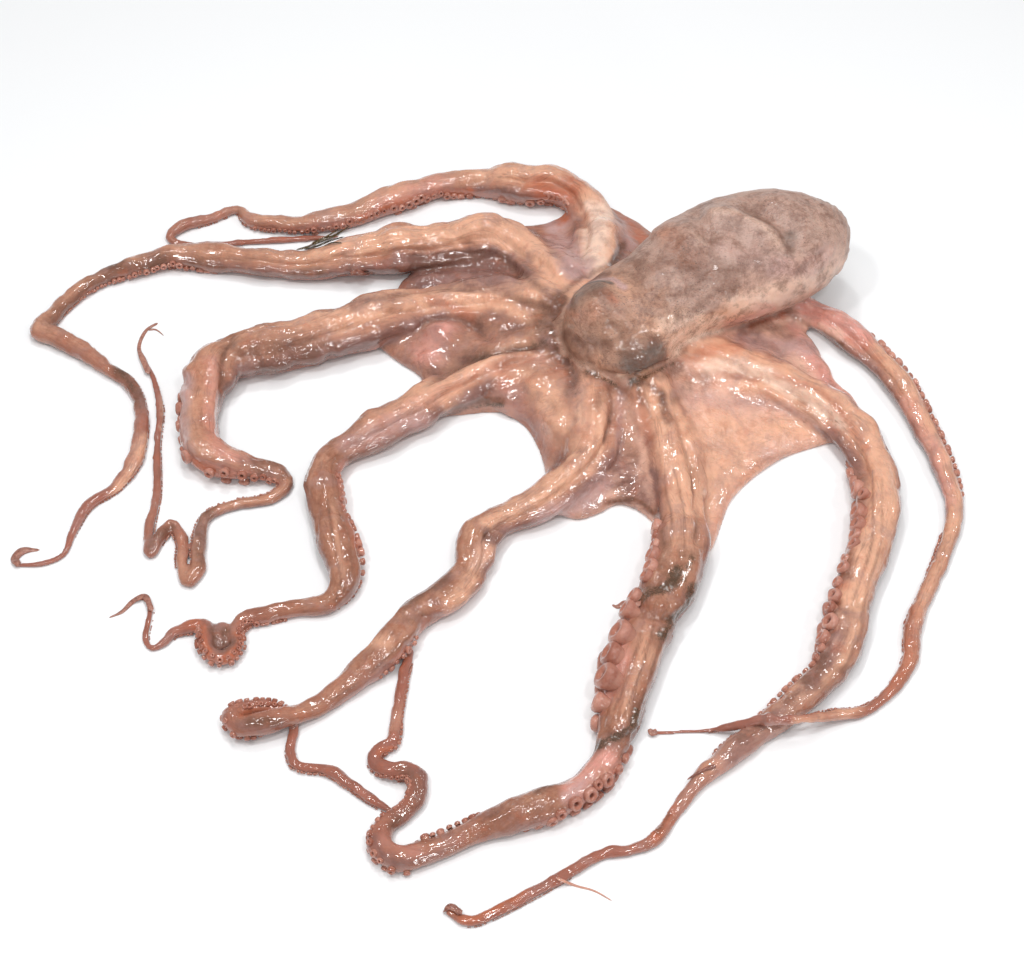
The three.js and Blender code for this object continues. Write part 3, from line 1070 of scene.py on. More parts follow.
@dataclass(frozen=True)
class WetSkin:
    """The wet skin: pale backs, mauve flanks, red-brown tips and a speckled mantle."""

    limb: Colour = TAN
    limb_coats: tuple[Coat, ...] = (
        Coat("pale", PEACH, stray=1.0, start=0.1, full=0.9),
        Coat("web", srgb(232, 182, 160), full=0.0),
        Coat("deep", srgb(154, 101, 78), ragged=1.2, full=1.3),
        Coat("flank", MAUVE, stray=0.8, start=0.15, full=0.95),
        Coat("under", srgb(186, 128, 112), stray=0.5, start=0.2),
        Coat("tip", srgb(158, 98, 82), stray=0.4, start=0.05),
    )
    mantle: Colour = srgb(190, 156, 141)
    mantle_coats: tuple[Coat, ...] = (
        # The mantle's side that faces the front is painted lighter: painted light.
        Coat("low", srgb(216, 176, 158), stray=0.5, start=0.2, full=0.9),
        Coat("face", srgb(178, 136, 114), ragged=1.0, full=1.2),
    )
    brushed: tuple[tuple[Tint, Colour], ...] = (
        (Tint.TAN, TAN), (Tint.PEACH, PEACH), (Tint.CREAM, srgb(246, 210, 188)),
        (Tint.ROSE, srgb(226, 160, 146)), (Tint.LILAC, srgb(196, 158, 152)), (Tint.MAUVE, MAUVE),
        (Tint.RUST, RUST), (Tint.UMBER, UMBER), (Tint.SLATE, srgb(102, 94, 88)),
    )
    brushed_ragged: float = 1.1
    # Painted shade in folds and hollows.
    crease: Coat = Coat("crease", srgb(96, 60, 48), ragged=1.0, share=0.7)
    bruise: Colour = srgb(170, 132, 124)
    # Dark dirt, and painted shade in the crevices round the head.
    grime: Colour = srgb(70, 54, 36)
    vein: Colour = srgb(112, 74, 60)
    dot: Colour = srgb(92, 72, 64)

    patches: Pattern = Pattern(70.0, 4.0, 0.6)
    mottle: Pattern = Pattern(380.0, 4.0, 0.65)
    streaks: Pattern = Pattern(300.0, 4.0, 0.62, 0.5)
    wander_shares: Triple = (1.2, 0.7, 0.35)

    limb_veins: Pattern = Pattern(150.0, 3.0, 0.55, 0.7, sharp=700.0)
    mantle_veins: Pattern = Pattern(52.0, 4.0, 0.6, 0.5, sharp=1500.0)
    thin_veins: Pattern = Pattern(150.0, 3.0, 0.6, 0.5, sharp=900.0)
    thin_vein_stretch: Triple = (1.0, 1.7, 1.7)
    vein_patches: Pattern = Pattern(34.0, 3.0, 0.6, start=0.4, full=0.64)
    vein_shares: Triple = (0.45, 0.7, 0.3)
    vein_least: float = 0.12
    vein_share: float = 0.55
    vein_cream: Pair = (0.1, 0.7)

    fibres: Pattern = Pattern(900.0, 3.0, 0.6, 0.3, 0.5, 0.7)
    grained: Pattern = Pattern(55.0, 2.0, 0.5, 0.0, 0.38, 0.66)
    fibre_shares: Pair = (0.08, 0.38)
    warm: Pattern = Pattern(95.0, 4.0, 0.65, 0.4, 0.5, 0.72)
    warm_shares: Pair = (0.1, 0.22)
    cool: Pattern = Pattern(62.0, 5.0, 0.7, 0.3, 0.47, 0.66)
    cool_share: float = 0.42
    clouds: Pattern = Pattern(100.0, 5.0, 0.72, 0.0, 0.42, 0.68)
    cloud_shares: Pair = (0.16, 0.5)
    specks: Pattern = Pattern(900.0, 3.0, 0.6, 0.0, 0.54, 0.70)
    speck_stretch: Triple = (0.8, 1.5, 1.5)
    speck_stray: float = 0.5
    speck_share: float = 0.85
    speck_span: Pair = (0.1, 0.9)
    grit: Pattern = Pattern(620.0, 4.0, 0.75, 0.6, sharp=160.0)
    grime_shares: Triple = (1.3, 0.8, 0.5)
    grime_start: float = 0.75
    grime_full: float = 0.7
    grime_share: float = 0.85

    strands: Pattern = Pattern(420.0, 2.0, 0.5)
    ripple: Pattern = Pattern(150.0, 1.0, 0.5)
    crinkle: Pattern = Pattern(460.0, 1.0, 0.5, 0.6)
    wrinkled: Pattern = Pattern(48.0, 2.0, 0.5, 0.0, 0.38, 0.6)
    pores: Pattern = Pattern(1500.0, 1.0, 0.5)
    strand_height: float = 0.3
    ripple_height: float = 0.95
    crinkle_heights: Pair = (0.12, 0.5)
    pore_height: float = 0.012

    dull: Pattern = Pattern(160.0, 3.0, 0.6)
    dull_middle: float = 0.45
    rough: float = 0.1
    rough_dull: float = 0.22
    rough_dry: float = 0.3
    rough_grime: float = 0.1
    rough_matt: float = 0.35
    water: float = 0.45
    water_dull: float = 1.2
    water_dry: float = 0.5
    wet_gloss: Pair = (0.1, 0.45)
    wetness: Wetness = Wetness(0.8, 0.18, 0.004, 0.03, 0.0008, 1.0)

    def wander(self, bench: Bench, across: Wire, along: Wire) -> Wire:
        """Adds up the uneven patches that fray every coat's edge."""
        patches, mottle, streaks = self.wander_shares
        return (self.patches.swing(bench, across) * patches + self.mottle.swing(bench, across) * mottle
                + self.streaks.swing(bench, along) * streaks * bench.mask("whole"))

    def veins(self, bench: Bench, across: Wire, along: Wire) -> Wire:
        """Finds the thin dark lines that wander over the mantle and run along the arms.

        Args:
            bench: The material.
            across: Place on the part, in metres.
            along: Place on each limb, squeezed along it.

        Returns:
            How dark they are, 0 to 1.
        """
        on_limb, on_mantle, thin = self.vein_shares
        mantle = bench.mask("mantle")
        finer = bench.stretch(across, self.thin_vein_stretch)
        limb_line = self.limb_veins.lines(bench, along) * (1.0 - mantle) * bench.mask("whole")
        wide_line = self.mantle_veins.lines(bench, across) * mantle
        thin_line = self.thin_veins.lines(bench, finer) * mantle
        patch = self.vein_patches.blots(bench, across) * (1.0 - self.vein_least)
        veins = (limb_line * on_limb + wide_line * on_mantle + thin_line * thin) * (self.vein_least + patch)
        return veins * (1.0 - bench.mask(Tint.CREAM.value).step(*self.vein_cream))

    def colour(self, bench: Bench, across: Wire, along: Wire) -> Wire:
        """Mixes the skin's colour.

        Args:
            bench: The material.
            across: Place on the part, in metres.
            along: Place on each limb, squeezed along it.

        Returns:
            The colour.
        """
        wander = self.wander(bench, across, along)
        colour, mantle = self.limb, self.mantle
        for coat in self.limb_coats:
            colour = coat.over(bench, colour, wander)
        for coat in self.mantle_coats:
            mantle = coat.over(bench, mantle, wander)
        colour = bench.blend(bench.mask("mantle"), colour, mantle)
        for tint, shade in self.brushed:
            colour = Coat(tint.value, shade, self.brushed_ragged).over(bench, colour, wander)
        colour = self.clouded(bench, across, along, colour)
        # Painted shade in the creases and hollows.
        colour = self.crease.over(bench, colour, wander)
        colour = bench.blend(self.veins(bench, across, along) * self.vein_share, colour, self.vein)
        return self.soiled(bench, across, wander, colour)

    def clouded(self, bench: Bench, across: Wire, along: Wire, colour: Wire) -> Wire:
        """Lays dark fibres and warm, cool and dark clouds over a colour.

        Args:
            bench: The material.
            across: Place on the part, in metres.
            along: Place on each limb, squeezed along it.
            colour: The colour under them.

        Returns:
            The mixed colour.
        """
        limb = bench.mask("limb") * bench.mask("whole")
        off_mantle = 1.0 - bench.mask("mantle")
        least, more = self.fibre_shares
        fibres = self.fibres.blots(bench, along) * (least + self.grained.blots(bench, across) * more)
        colour = bench.blend(fibres * limb, colour, UMBER)
        least, more = self.warm_shares
        colour = bench.blend(self.warm.blots(bench, across) * (least + more * off_mantle), colour, RUST)
        cool = self.cool.blots(bench, across) * self.cool_share * off_mantle
        colour = bench.blend(cool, colour, self.bruise)
        least, more = self.cloud_shares
        clouds = self.clouds.blots(bench, across) * (least + bench.mask("mantle") * more)
        return bench.blend(clouds, colour, UMBER)

    def soiled(self, bench: Bench, across: Wire, wander: Wire, colour: Wire) -> Wire:
        """Lays dots, dirt and painted shade over a colour.

        Args:
            bench: The material.
            across: Place on the part, in metres.
            wander: The skin's uneven patches.
            colour: The colour under them.

        Returns:
            The mixed colour.
        """
        spotted = (bench.mask(Tint.SPECKLE.value) + wander * self.speck_stray).step(*self.speck_span)
        specks = self.specks.blots(bench, bench.stretch(across, self.speck_stretch))
        colour = bench.blend(specks * spotted * self.speck_share, colour, self.dot)
        brushed, uneven, netted = self.grime_shares
        grime = (bench.mask(Tint.GRIME.value) * brushed + wander * uneven
                 + self.grit.lines(bench, across) * netted - self.grime_start)
        return bench.blend(grime.step(0.0, self.grime_full) * self.grime_share, colour, self.grime)

    def height(self, bench: Bench, across: Wire, along: Wire) -> Wire:
        """Adds up the fine relief: fibres along the limbs, ripples and pores."""
        least, more = self.crinkle_heights
        strands = self.strands.swing(bench, along) * self.strand_height * bench.mask("whole")
        wrinkled = least + self.wrinkled.blots(bench, across) * more
        return (strands + self.ripple.value(bench, across) * self.ripple_height
                + self.crinkle.value(bench, across) * wrinkled
                + self.pores.value(bench, across) * self.pore_height)

    def material(self) -> bpy.types.Material:
        """Builds the material: dull where it is dry, brushed matt, dirty, or painted with shade."""
        bench = Bench("wet_skin")
        across, along = bench.across(), bench.place("lay")
        dull = self.dull.value(bench, across)
        dry = bench.mask("mantle") * (1.0 - bench.mask(Tint.GLOSS.value).step(*self.wet_gloss))
        matt, grime = bench.mask(Tint.MATT.value), bench.mask(Tint.GRIME.value)
        rough = (self.rough + (dull - self.dull_middle) * self.rough_dull + dry * self.rough_dry
                 + grime * self.rough_grime + matt * self.rough_matt)
        water = self.water + (dull - Pattern.MIDDLE) * self.water_dull - dry * self.water_dry - matt
        return self.wetness.finish(bench, self.colour(bench, across, along), rough,
                                   self.height(bench, across, along), water)


# ---- the skin ------------------------------------------------------------------------------------


def spread(values: Array, quads: Array, rounds: int) -> Array:
    """Evens values out between neighbouring points.

    Args:
        values: One row for each point.
        quads: The mesh's faces.
        rounds: How often each point takes its neighbours' middle.

    Returns:
        The evened values.
    """
    ends = np.concatenate([quads[:, [0, 1]], quads[:, [1, 2]], quads[:, [2, 3]], quads[:, [3, 0]]])
    here = np.concatenate([ends[:, 0], ends[:, 1]])
    there = np.concatenate([ends[:, 1], ends[:, 0]])
    count = len(values)
    share = np.maximum(np.bincount(here, minlength=count).astype(float), 1)
    table = values.reshape(count, -1).astype(float)
    for _ in range(rounds):
        table = np.stack([np.bincount(here, table[there, c], count) / share
                          for c in range(table.shape[1])], axis=1)
    return table.reshape(values.shape)


def line_distance(points: Array, line: Array) -> tuple[Array, Array]:
    """Measures how far points lie from a plan line.

    Args:
        points: Rows of x, y.
        line: The line's corners, rows of x, y.

    Returns:
        The distance, plus to the left of the line, and the share of the line's length.
    """
    best = np.full(len(points), np.inf)
    side = np.ones(len(points))
    share = np.zeros(len(points))
    lengths = np.linalg.norm(np.diff(line, axis=0), axis=1)
    starts = np.concatenate([[0], np.cumsum(lengths)])
    for i, (start, end) in enumerate(zip(line[:-1], line[1:])):
        run = end - start
        t = np.clip((points - start) @ run / (run @ run), 0, 1)
        off = points - start - t[:, None] * run
        far = np.hypot(off[:, 0], off[:, 1])
        closer = far < best
        best[closer] = far[closer]
        side[closer] = np.sign(run[0] * off[:, 1] - run[1] * off[:, 0])[closer]
        share[closer] = ((starts[i] + t * lengths[i]) / starts[-1])[closer]
    return best * side, share


@dataclass
class Lie:
    """Where each point of the skin lies on what it belongs to.

    Attributes:
        points: Rows of x, y, z in drawing millimetres.
        owner: The number of what each point belongs to, an Owner value.
        along: Distance along the arm or body.
        sheet: Rows of x and y on the sheet.
        facing: How far each point faces the eye, 0 to 1.
        share: The distance along it as a share of its length.
        radius: The limb's half width there.
        reach: How far the point is from the limb's middle line.
        turn: Angle round the limb from straight up, plus to the left of the way out, radians.
        roll: How far the limb's sucker side is rolled there, radians.
        bend: How sharply the limb bends there, plus to the left, per millimetre.
    """

    points: Array
    owner: Array
    along: Array
    sheet: Array
    facing: Array
    share: Array = field(init=False)
    radius: Array = field(init=False)
    reach: Array = field(init=False)
    turn: Array = field(init=False)
    roll: Array = field(init=False)
    bend: Array = field(init=False)

    FACING = (-0.15, 0.25)
    WEB_RADIUS = 20.0
    ROUNDS = 2
    STRIDE = 0.9

    def __post_init__(self) -> None:
        """Sets what holds for the web, which has no middle line."""
        count = len(self.points)
        self.radius = np.full(count, self.WEB_RADIUS)
        self.share, self.reach, self.turn, self.roll, self.bend = np.zeros((5, count))

    @property
    def on_arm(self) -> Array:
        """Which points belong to an arm."""
        return self.owner < Owner.WEB.value

    @property
    def on_body(self) -> Array:
        """Which points belong to the body."""
        return self.owner == Owner.BODY.value

    @staticmethod
    def of(points: Array, normals: Array, owner: Array, along: Array,
           spines: dict[int, Spine]) -> "Lie":
        """Works out each point's place from a first guess.

        Args:
            points: Rows of x, y, z.
            normals: Each point's outward direction.
            owner: What each point belongs to.
            along: A first guess of the distance along it.
            spines: The middle lines, by owner.

        Returns:
            The places.
        """
        facing = smooth(*Lie.FACING, (unit(EYE.place - points) * normals).sum(1))
        lie = Lie(points, owner, along.astype(float), EYE.on_sheet(points), facing)
        for number, spine in spines.items():
            lie.settle(np.flatnonzero(owner == number), spine)
        return lie

    def settle(self, mine: Array, spine: Spine) -> None:
        """Works out the places of one limb's points.

        Args:
            mine: The points' numbers.
            spine: The limb's middle line.
        """
        here, place = self.points[mine], self.along[mine]
        for _ in range(self.ROUNDS):
            row = place / spine.step
            ahead = ((here - rows_at(spine.middle, row)) * rows_at(spine.out, row)).sum(1)
            place = np.clip(place + ahead * self.STRIDE, 0, spine.length)
        row = place / spine.step
        out, left = rows_at(spine.out, row), rows_at(spine.left, row)
        off = here - rows_at(spine.middle, row)
        aside, over = (off * left).sum(1), (off * np.cross(out, left)).sum(1)
        heading = np.unwrap(np.arctan2(spine.out[:, 1], spine.out[:, 0]))
        self.along[mine] = place
        self.share[mine] = place / spine.length
        self.radius[mine] = rows_at(spine.wide, row)
        self.turn[mine] = np.arctan2(aside, over)
        self.reach[mine] = np.hypot(aside, over)
        self.roll[mine] = rows_at(spine.roll, row)
        self.bend[mine] = rows_at(np.gradient(heading) / spine.step, row)


@dataclass(frozen=True)
class Mark:
    """A line or a dot drawn on the sheet.

    Attributes:
        line: Its corners on the sheet; a single corner is a dot.
        width: Its half width on the sheet.
        on: Which owners carry it; none means whatever lies there.
    """

    line: Line
    width: float
    on: tuple[Owner, ...]

    DOT = 0.5
    MARGIN = 3
    ROUNDING = 5

    def near(self, lie: Lie) -> tuple[Array, Array, Array]:
        """Finds the points of the skin near the line.

        Args:
            lie: The skin's places.

        Returns:
            The points' numbers, how far each is to the line's left, and the share of the line there.
        """
        first = self.line[0]
        line = self.line if len(self.line) > 1 else (first, (first[0] + self.DOT, first[1]))
        corners = np.array(line, float)
        margin = self.width * self.MARGIN
        low, high = corners.min(0) - margin, corners.max(0) + margin
        near = np.all((lie.sheet > low) & (lie.sheet < high), axis=1) & (lie.facing > 0)
        if self.on:
            near &= np.isin(lie.owner, [owner.value for owner in self.on])
        near = np.flatnonzero(near)
        path = catmull(corners, self.ROUNDING) if len(line) > 2 else corners
        far, share = line_distance(lie.sheet[near], path)
        return near, far, share


@dataclass(frozen=True)
class Fold(Mark):
    """A ridge, a crease or a bump drawn on the sheet.

    Attributes:
        height: How far it stands out in millimetres, minus for a crease.
        dark: How much painted shade it lays on the skin.
        ends: How soft its ends are, as a share of its length.
    """

    height: float
    dark: float
    ends: float = 0.2

    OVERRUN = 0.02

    def lift(self, lie: Lie) -> tuple[Array, Array]:
        """Works out the fold's relief and its painted shade at each point."""
        near, far, share = self.near(lie)
        shape = bell(far, self.width)
        if len(self.line) > 1 and self.ends:
            fade = 1 - smooth(1 - self.ends, 1, share - self.OVERRUN)
            shape = shape * (smooth(0, self.ends, share + self.OVERRUN) * fade)
        relief, dark = np.zeros((2, len(lie.owner)))
        relief[near] = self.height * (shape * lie.facing[near])
        dark[near] = self.dark * (shape * lie.facing[near])
        return relief, dark


@dataclass(frozen=True)
class Stroke(Mark):
    """A brush stroke of one tint drawn on the sheet.

    Attributes:
        tint: What is brushed on.
        strength: How strong it is in the middle.
    """

    tint: Tint
    strength: float

    RAGGED = 0.35
    EDGE = (0.1, 1.6)

    def cover(self, lie: Lie, ragged: Array) -> Array:
        """Works out how much of the tint each point takes."""
        near, far, _ = self.near(lie)
        cover = np.zeros(len(lie.owner))
        edge = np.abs(far) / self.width + self.RAGGED * ragged[near]
        cover[near] = self.strength * (1 - smooth(*self.EDGE, edge)) * lie.facing[near]
        return cover


HEAD = (Owner.BODY,)
WEBBED = (Owner.WEB, Owner.FRONT_LEFT, Owner.FRONT, Owner.RIGHT, Owner.LEFT_FRONT, Owner.LEFT,
          Owner.LEFT_REAR, Owner.REAR, Owner.RIGHT_REAR)

# Bumps, ridges and creases: what carries them, then rows of height, half width, painted shade and corners.
FOLDWORK: tuple[tuple[tuple[Owner, ...], tuple[Row, ...]], ...] = (
    (HEAD, (
        (3.2, 7, 0.0, (694, 218), (720, 214), (745, 219), (766, 231), (783, 248)),
        (-4.2, 9, 0.35, (734, 200), (760, 208), (782, 224), (795, 242)), (-3.6, 7, 0.5, (792, 244)),
        (2, 8, 0.0, (760, 196), (790, 204), (812, 222)),
        (-1.6, 5, 0.25, (796, 246), (812, 252), (832, 252)),
        (-1.8, 8, 0.1, (700, 226), (724, 232), (752, 246)), (1.8, 4, 0.0, (788, 234)),
        (1.6, 8, 0.0, (800, 226), (818, 236), (824, 252)),
        (3.6, 11, 0.0, (652, 242), (670, 230), (686, 234), (692, 250)),
        (-2.6, 8, 0.2, (696, 206), (704, 226), (712, 244)),
        (-1.8, 8, 0.1, (626, 262), (640, 274), (652, 292)),
        (-1.4, 5, 0.25, (664, 286), (668, 300), (672, 320)),
        (-1.2, 10, 0.15, (680, 250), (700, 270), (710, 290)),
        (1.3, 12, 0.0, (720, 250), (745, 262), (775, 268)),
        (-1.4, 4, 0.4, (705, 196), (722, 190), (742, 189)),
        (-0.9, 4, 0.15, (800, 288), (826, 272), (842, 250)),
        (-0.8, 4, 0.15, (792, 276), (816, 262), (832, 242)),
        (-1.2, 5, 0.25, (640, 302), (668, 298), (700, 300)),
        (-1.6, 4, 0.3, (572, 312), (572, 296), (588, 282), (616, 276)),
        (-1.2, 5, 0.15, (616, 346), (634, 336), (660, 332)),
        (-2.4, 8, 0.15, (604, 320), (618, 332), (620, 350)),
        (3.2, 8, 0.0, (596, 360), (626, 370), (654, 364)),
        (-1.6, 5, 0.35, (570, 338), (586, 345), (600, 343)),
        (1.6, 3, 0.0, (620, 376), (646, 369), (668, 356), (674, 346)),
        (-2.0, 9, 0.1, (628, 300), (640, 318), (660, 330)),
    )),
    (WEBBED, (
        (6, 17, 0.0, (538, 384)), (5, 15, 0.0, (510, 400)), (5, 17, 0.0, (556, 424)),
        (3, 15, 0.0, (590, 402)), (3.5, 14, 0.0, (612, 470), (618, 486)),
        (3, 12, 0.0, (652, 372), (664, 400)), (-1.6, 5, 0.2, (548, 402), (560, 416), (580, 420)),
        (-2.2, 6, 0.5, (560, 350), (572, 374), (570, 392)),
        (-2.6, 5, 0.5, (610, 384), (614, 414), (608, 446)),
        (-3.2, 6, 0.35, (626, 382), (624, 420), (622, 466)),
        (1.5, 5, 0.0, (634, 384), (636, 410), (646, 440)),
        (-1.2, 3, 0.4, (642, 384), (646, 402), (652, 420)),
        (-2.4, 4, 0.5, (674, 392), (682, 436), (696, 480), (700, 560)),
        (-4.5, 6, 0.8, (556, 341), (500, 346), (452, 362), (420, 388)), (4.6, 17, 0.0, (440, 334)),
        (2.4, 9, 0.0, (428, 352), (432, 372)),
        (-3.2, 5, 0.6, (412, 326), (440, 319), (470, 323), (492, 340)),
        (-3.0, 5, 0.5, (522, 290), (508, 260), (480, 254), (440, 256), (396, 262)),
        (-2.4, 4, 0.5, (500, 292), (450, 288), (400, 292), (350, 303)),
        (-1.8, 5, 0.2, (604, 474), (566, 497), (524, 521), (494, 530)),
        (-1.6, 5, 0.4, (545, 470), (566, 452), (588, 446)),
        (-2.2, 8, 0.2, (716, 398), (768, 402), (812, 418), (846, 446)),
        (1.6, 9, 0.0, (700, 366), (750, 366), (806, 390), (850, 426)),
        (1.6, 9, 0.0, (690, 392), (708, 420), (712, 460)),
        (-1.0, 4, 0.25, (780, 378), (830, 402), (862, 440)),
        (2, 7, 0.0, (790, 330), (806, 352), (830, 380)), (-2.0, 6, 0.5, (750, 332), (770, 344), (790, 358)),
        (-2.2, 9, 0.1, (560, 222), (574, 250), (590, 268)),
        (-1.6, 4, 0.4, (540, 236), (566, 262), (592, 276)),
        (-2.6, 5, 0.6, (618, 228), (622, 248), (610, 268)),
        (-2.6, 5, 0.45, (233, 334), (225, 350), (222, 374), (228, 402)), (3.2, 5, 0.0, (551, 343)),
        (2.6, 7, 0.0, (184, 372), (196, 372)), (2.6, 7, 0.0, (181, 395), (194, 394)),
        (3, 6, 0.0, (190, 447), (200, 446)), (1.6, 7, 0.0, (204, 376), (210, 400), (208, 430)),
        (-1.4, 5, 0.3, (222, 376), (224, 410), (232, 440)), (3, 6, 0.0, (628, 764), (620, 770)),
        (2.6, 5, 0.0, (606, 778), (612, 772)), (2.4, 6, 0.0, (786, 702), (796, 694)),
        (2.4, 6, 0.0, (764, 716), (772, 722)), (-2.0, 5, 0.4, (480, 282), (520, 300), (556, 306)),
        (-1.8, 5, 0.4, (500, 328), (530, 322), (560, 320)),
        (1.8, 4, 0.0, (524, 284), (490, 276), (450, 276), (404, 284)),
        (-1.6, 3, 0.3, (516, 274), (488, 266), (452, 266), (412, 272)),
        (-1.4, 3, 0.3, (470, 286), (440, 284), (404, 292)),
        (-1.8, 5, 0.4, (250, 350), (262, 366), (256, 380)),
        (-1.6, 5, 0.35, (286, 342), (296, 358), (290, 372)),
        (-1.4, 5, 0.3, (322, 340), (330, 352), (326, 364)),
        (-1.6, 5, 0.3, (460, 562), (478, 572), (492, 566)),
        (-1.6, 4, 0.4, (412, 604), (428, 616), (446, 618)),
        (-1.2, 4, 0.3, (404, 640), (412, 648), (424, 650)), (2, 7, 0.0, (640, 598), (664, 606), (690, 600)),
        (-2.2, 5, 0.4, (630, 610), (660, 618), (684, 616)),
        (-2.0, 5, 0.5, (600, 730), (620, 738), (640, 732)),
        (-1.8, 5, 0.3, (826, 600), (846, 608), (866, 604)), (-1.6, 5, 0.3, (836, 668), (854, 676)),
    )),
)
# The two closed eyes: line, half width, what carries them and height.
EYES = (((584, 303), (600, 296)), 15, HEAD, 4.0), (((634, 358), (652, 351)), 15, HEAD, 5.0)
FOLDS: tuple[Fold, ...] = tuple(
    Fold(tuple(line), width, on, height, dark)
    for on, rows in FOLDWORK for height, width, dark, *line in rows
) + tuple(Fold(*eye, dark=0.0, ends=0.0) for eye in EYES)

